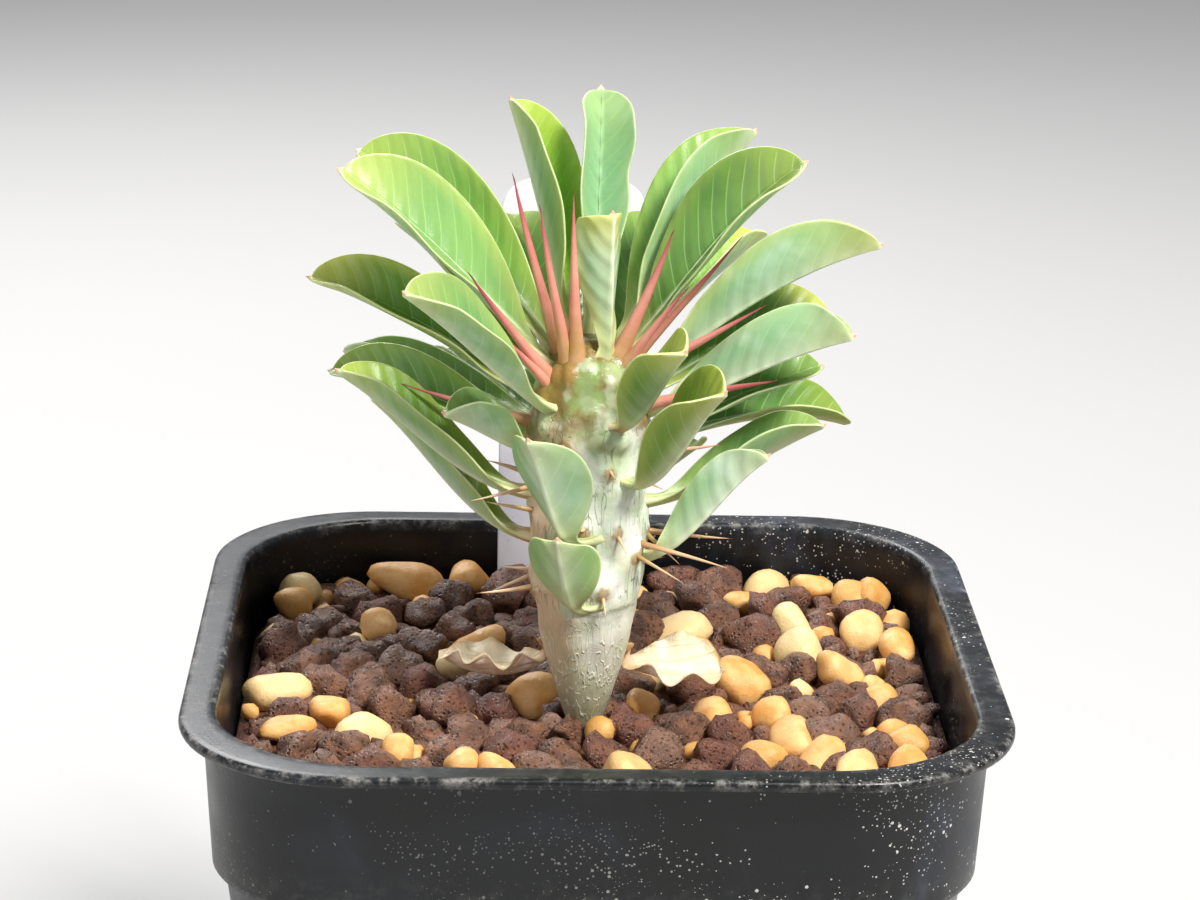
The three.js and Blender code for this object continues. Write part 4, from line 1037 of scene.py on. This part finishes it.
def makeBed(material):
    inset, foot = potForm["wall"] + 0.3, potForm["base"] / 2 - potForm["wall"]
    rings = [(0.5, 4.6), (foot - 0.9, 4.6), (foot - 0.6, 5.2), (outsideHalf(7) - inset, 7.5),
             (outsideHalf(40) - inset, 40), (outsideHalf(61.7) - inset, 62.1), (bandFoot - inset, 64.1),
             (bandFoot - potForm["wall"] - 0.1, 70.4)]
    points = []
    for half, z in rings:
        points += roundSquare(half, cornerAt(half), z, 12)
    count = len(points) // len(rings)
    inner, outer = soilForm["rings"], np.array(points[-count:])
    for k in range(1, inner):
        ring = outer.copy()
        ring[:, :2] *= 1 - k / inner
        for p in ring:
            lump = draw(round(p[0] * 7.3) + round(p[1] * 3.7) * 91) - 0.5
            p[2] = soilAt(p[1]) - soilForm["sink"] + soilForm["rough"] * lump
        points += [tuple(p) for p in ring]
    rows = len(rings) + inner - 1
    faces = tubeFaces(rows, count)
    return makeObject("soilBed", points, faces, material, {})


def lavaMaterial():
    material, tree, place = newMaterial("redBrownLava")
    patches, grain = mottled(tree, place, 0.0018, 0.0002)
    pores = addNode(tree, "ShaderNodeTexVoronoi", {"Vector": place, "Scale": 1700.0}).outputs["Distance"]
    pit = ramp(tree, pores, 0.1, 0.45)
    perGrain = mathNode(tree, "FRACT", times(tree, attribute(tree, "seed"), 1.37))
    skin = blendColour(tree, patches, colour("4C3225"), colour("845940"))
    skin = cover(tree, skin, ramp(tree, perGrain, 0.5, 0.0), 0.6, colour("704034"))
    skin = cover(tree, skin, ramp(tree, perGrain, 0.7, 1.0), 0.6, colour("8C6C5C"))
    # painted highlight: pinkish-white flecks stand for glints on the lava
    skin = blendColour(tree, ramp(tree, grain, 0.58, 0.7, 0.0, 0.6), skin, colour("C9AEA2"))
    # painted shade: the pores are darkened where shade falls in them
    skin = blendColour(tree, ramp(tree, pit, 0.0, 0.6, 0.8, 0.0), skin, colour("2C1C16"))
    rough = plusTimes(tree, grain, -0.7, 0.68)
    height = plusTimes(tree, pit, 0.8, grain)
    return paint(material, skin, rough, height, 0.7, 0.0005)


def ochreMaterial():
    material, tree, place = newMaterial("smoothOchreStone", Subsurface_Weight=0.15,
                                        Subsurface_Radius=(1.0, 0.6, 0.25), Subsurface_Scale=0.0012)
    patches, grain = mottled(tree, place, 0.0026, 0.0002)
    perStone = mathNode(tree, "FRACT", times(tree, attribute(tree, "seed"), 1.91))
    skin = blendColour(tree, patches, colour("EDBB78"), colour("D9994C"))
    skin = cover(tree, skin, ramp(tree, perStone, 0.55, 1.0), 0.8, colour("F0DCA6"))
    skin = cover(tree, skin, ramp(tree, perStone, 0.3, 0.0), 0.7, colour("C89A52"))
    skin = blendColour(tree, ramp(tree, grain, 0.58, 0.72, 0.0, 0.45), skin, colour("8A5A2C"))
    height = plusTimes(tree, patches, 0.6, grain)
    return paint(material, skin, 0.4, height, 0.35, 0.0003)


redLava = lavaMaterial()
ochreStone = ochreMaterial()
largeRows, smallRows = gravelPlaces()
bed = makeBed(redLava)
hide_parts("soil")
gravelPieces = [bed]
for name, rows, fineness in (("large", largeRows, 3), ("small", smallRows, 2)):
    lavaHere, ochreHere = [r for r in rows if not r[6]], [r for r in rows if r[6]]
    gravelPieces.append(makeGravel(f"{name}LavaLumps", lavaHere, redLava, lavaForm, fineness))
    gravelPieces.append(makeGravel(f"{name}OchreStones", ochreHere, ochreStone, ochreForm, fineness))
    print("gravel", name, len(lavaHere), "lava and", len(ochreHere), "ochre")
for piece in gravelPieces:
    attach(piece, "root")
    print(piece.name, len(piece.data.polygons))


labelForm = {"width": 17.6, "top": 124, "foot": 56, "thick": 0.8, "x": -2.1, "y": 37.8, "lean": 2.9,
             "round": 4}


def makeLabel(material):
    half, corner = labelForm["width"] / 2, labelForm["round"]
    foot, top = labelForm["foot"], labelForm["top"]
    outline = [(-2, foot), (2, foot), (half, foot + 14)]
    outline += [(half, z) for z in np.linspace(foot + 20, top - corner, 12)]
    for middleX, first, quarter in ((half - corner, 1, 0), (corner - half, 0, 1)):  # round upper corners
        for k in range(first, 13):
            angle = (quarter + k / 12) * math.pi / 2
            outline.append((middleX + corner * math.cos(angle), top - corner + corner * math.sin(angle)))
    outline += [(-half, z) for z in np.linspace(top - corner - 4, foot + 14, 13)]
    middle = np.array([0, (foot + top) / 2])
    flat = labelForm["thick"] / 2
    rings = ((0.0, -flat), (0.16, -flat), (flat, -0.24), (flat, 0.24), (0.16, flat), (0.0, flat))
    lean, level = math.radians(-labelForm["lean"]), soilForm["level"]
    points = []
    for grow, depth in rings:
        for x, z in outline:
            away = np.array([x, z]) - middle
            length = np.linalg.norm(away)
            px, pz = middle + away * (1 - (flat - grow) / length)
            py = depth * math.cos(lean) - (pz - level) * math.sin(lean)
            pz = depth * math.sin(lean) + (pz - level) * math.cos(lean)
            points.append((px + labelForm["x"], py + labelForm["y"], pz + level))
    return makeObject("plantLabel", points, tubeFaces(len(rings), len(outline)), material, {})


def labelMaterial():
    material, tree, place = newMaterial("whiteLabelPlastic", Subsurface_Weight=0.08, Subsurface_Scale=0.001)
    patches, grain = mottled(tree, place, 0.01, 0.0008)
    specks = dusted(tree, place, 0.00016, 0.4)[0]
    # painted shade: the label darkens towards its foot in the gravel
    low = ramp(tree, axis(tree, place, 2), 0.073, 0.086, 1.0, 0.0)
    base = blendColour(tree, patches, colour("E9E9F2"), colour("DCDCEA"))
    base = cover(tree, base, low, 0.35, colour("A08B7C"))
    base = cover(tree, base, specks, 0.35, colour("8E7C70"))
    return paint(material, base, 0.42, grain, 0.15, 0.0002)


label = makeLabel(labelMaterial())
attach(label, "root")
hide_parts("plant_label")
print("label", len(label.data.polygons))


studio = {"floor": 3.0, "aim": (0, 0, 0.1), "sky": 0.36, "skyTint": (0.9, 0.93, 1.0, 1.0)}
lampRows = {  # place, power, size and tint
    "keyLight": ((0.34, -0.4, 0.72), 11.0, 0.2, (1.0, 0.98, 0.94)),
    "fillLight": ((-0.6, -0.45, 0.4), 1.8, 0.6, (0.94, 0.97, 1.0)),
    "rimLight": ((-0.2, 0.55, 0.55), 4.0, 0.35, (1.0, 1.0, 1.0)),
}


def makeFloor():
    size = studio["floor"]
    mesh = bpy.data.meshes.new("paleFloor")
    mesh.from_pydata([(-size, -size, 0), (size, -size, 0), (size, size, 0), (-size, size, 0)], [],
                     [(0, 1, 2, 3)])
    material, tree, place = newMaterial("paleFloor", Roughness=0.85)
    shade = noise(tree, place, 3.0, 2.0)
    grey = blendColour(tree, shade, colour("C3C2C1"), colour("C9C8C6"))
    feed(tree, tree.nodes["Principled BSDF"].inputs["Base Color"], grey)
    mesh.materials.append(material)
    floor = link(bpy.data.objects.new("paleFloor", mesh))


def makeStudio():
    for name, (place, power, size, tint) in lampRows.items():
        data = bpy.data.lights.new(name, "AREA")
        data.energy, data.size, data.color = power, size, tint
        lamp = link(bpy.data.objects.new(name, data))
        lamp.location = place
        lamp.rotation_euler = (Vector(studio["aim"]) - Vector(place)).to_track_quat("-Z", "Y").to_euler()
    world = bpy.data.worlds.new("softSky")
    world.use_nodes = True
    background = world.node_tree.nodes["Background"].inputs
    background[0].default_value, background[1].default_value = studio["skyTint"], studio["sky"]
    bpy.context.scene.world = world
    bpy.context.scene.view_settings.view_transform = "Standard"


cameraForm = {"az": -1.735, "el": 16.83, "roll": 1.186, "distance": 417.9, "aim": (0.42, 0.0, 101.88),
              "lens": 111.33, "sensor": 36}


def makeCamera():
    az, el, roll = (math.radians(cameraForm[k]) for k in ("az", "el", "roll"))
    back = Vector((math.sin(az) * math.cos(el), -math.cos(az) * math.cos(el), math.sin(el)))
    right = Vector((math.cos(az), math.sin(az), 0))
    up = right.cross(-back)
    right, up = right * math.cos(roll) + up * math.sin(roll), up * math.cos(roll) - right * math.sin(roll)
    data = bpy.data.cameras.new("photoCamera")
    data.lens, data.sensor_width, data.sensor_fit = cameraForm["lens"], cameraForm["sensor"], "HORIZONTAL"
    data.clip_start = 0.01
    camera = link(bpy.data.objects.new("photoCamera", data))
    turn = Matrix((right, up, back)).transposed().to_4x4()
    spot = (Vector(cameraForm["aim"]) + back * cameraForm["distance"]) * mm
    camera.matrix_world = Matrix.Translation(spot) @ turn
    bpy.context.scene.camera = camera


makeFloor()
makeStudio()
makeCamera()
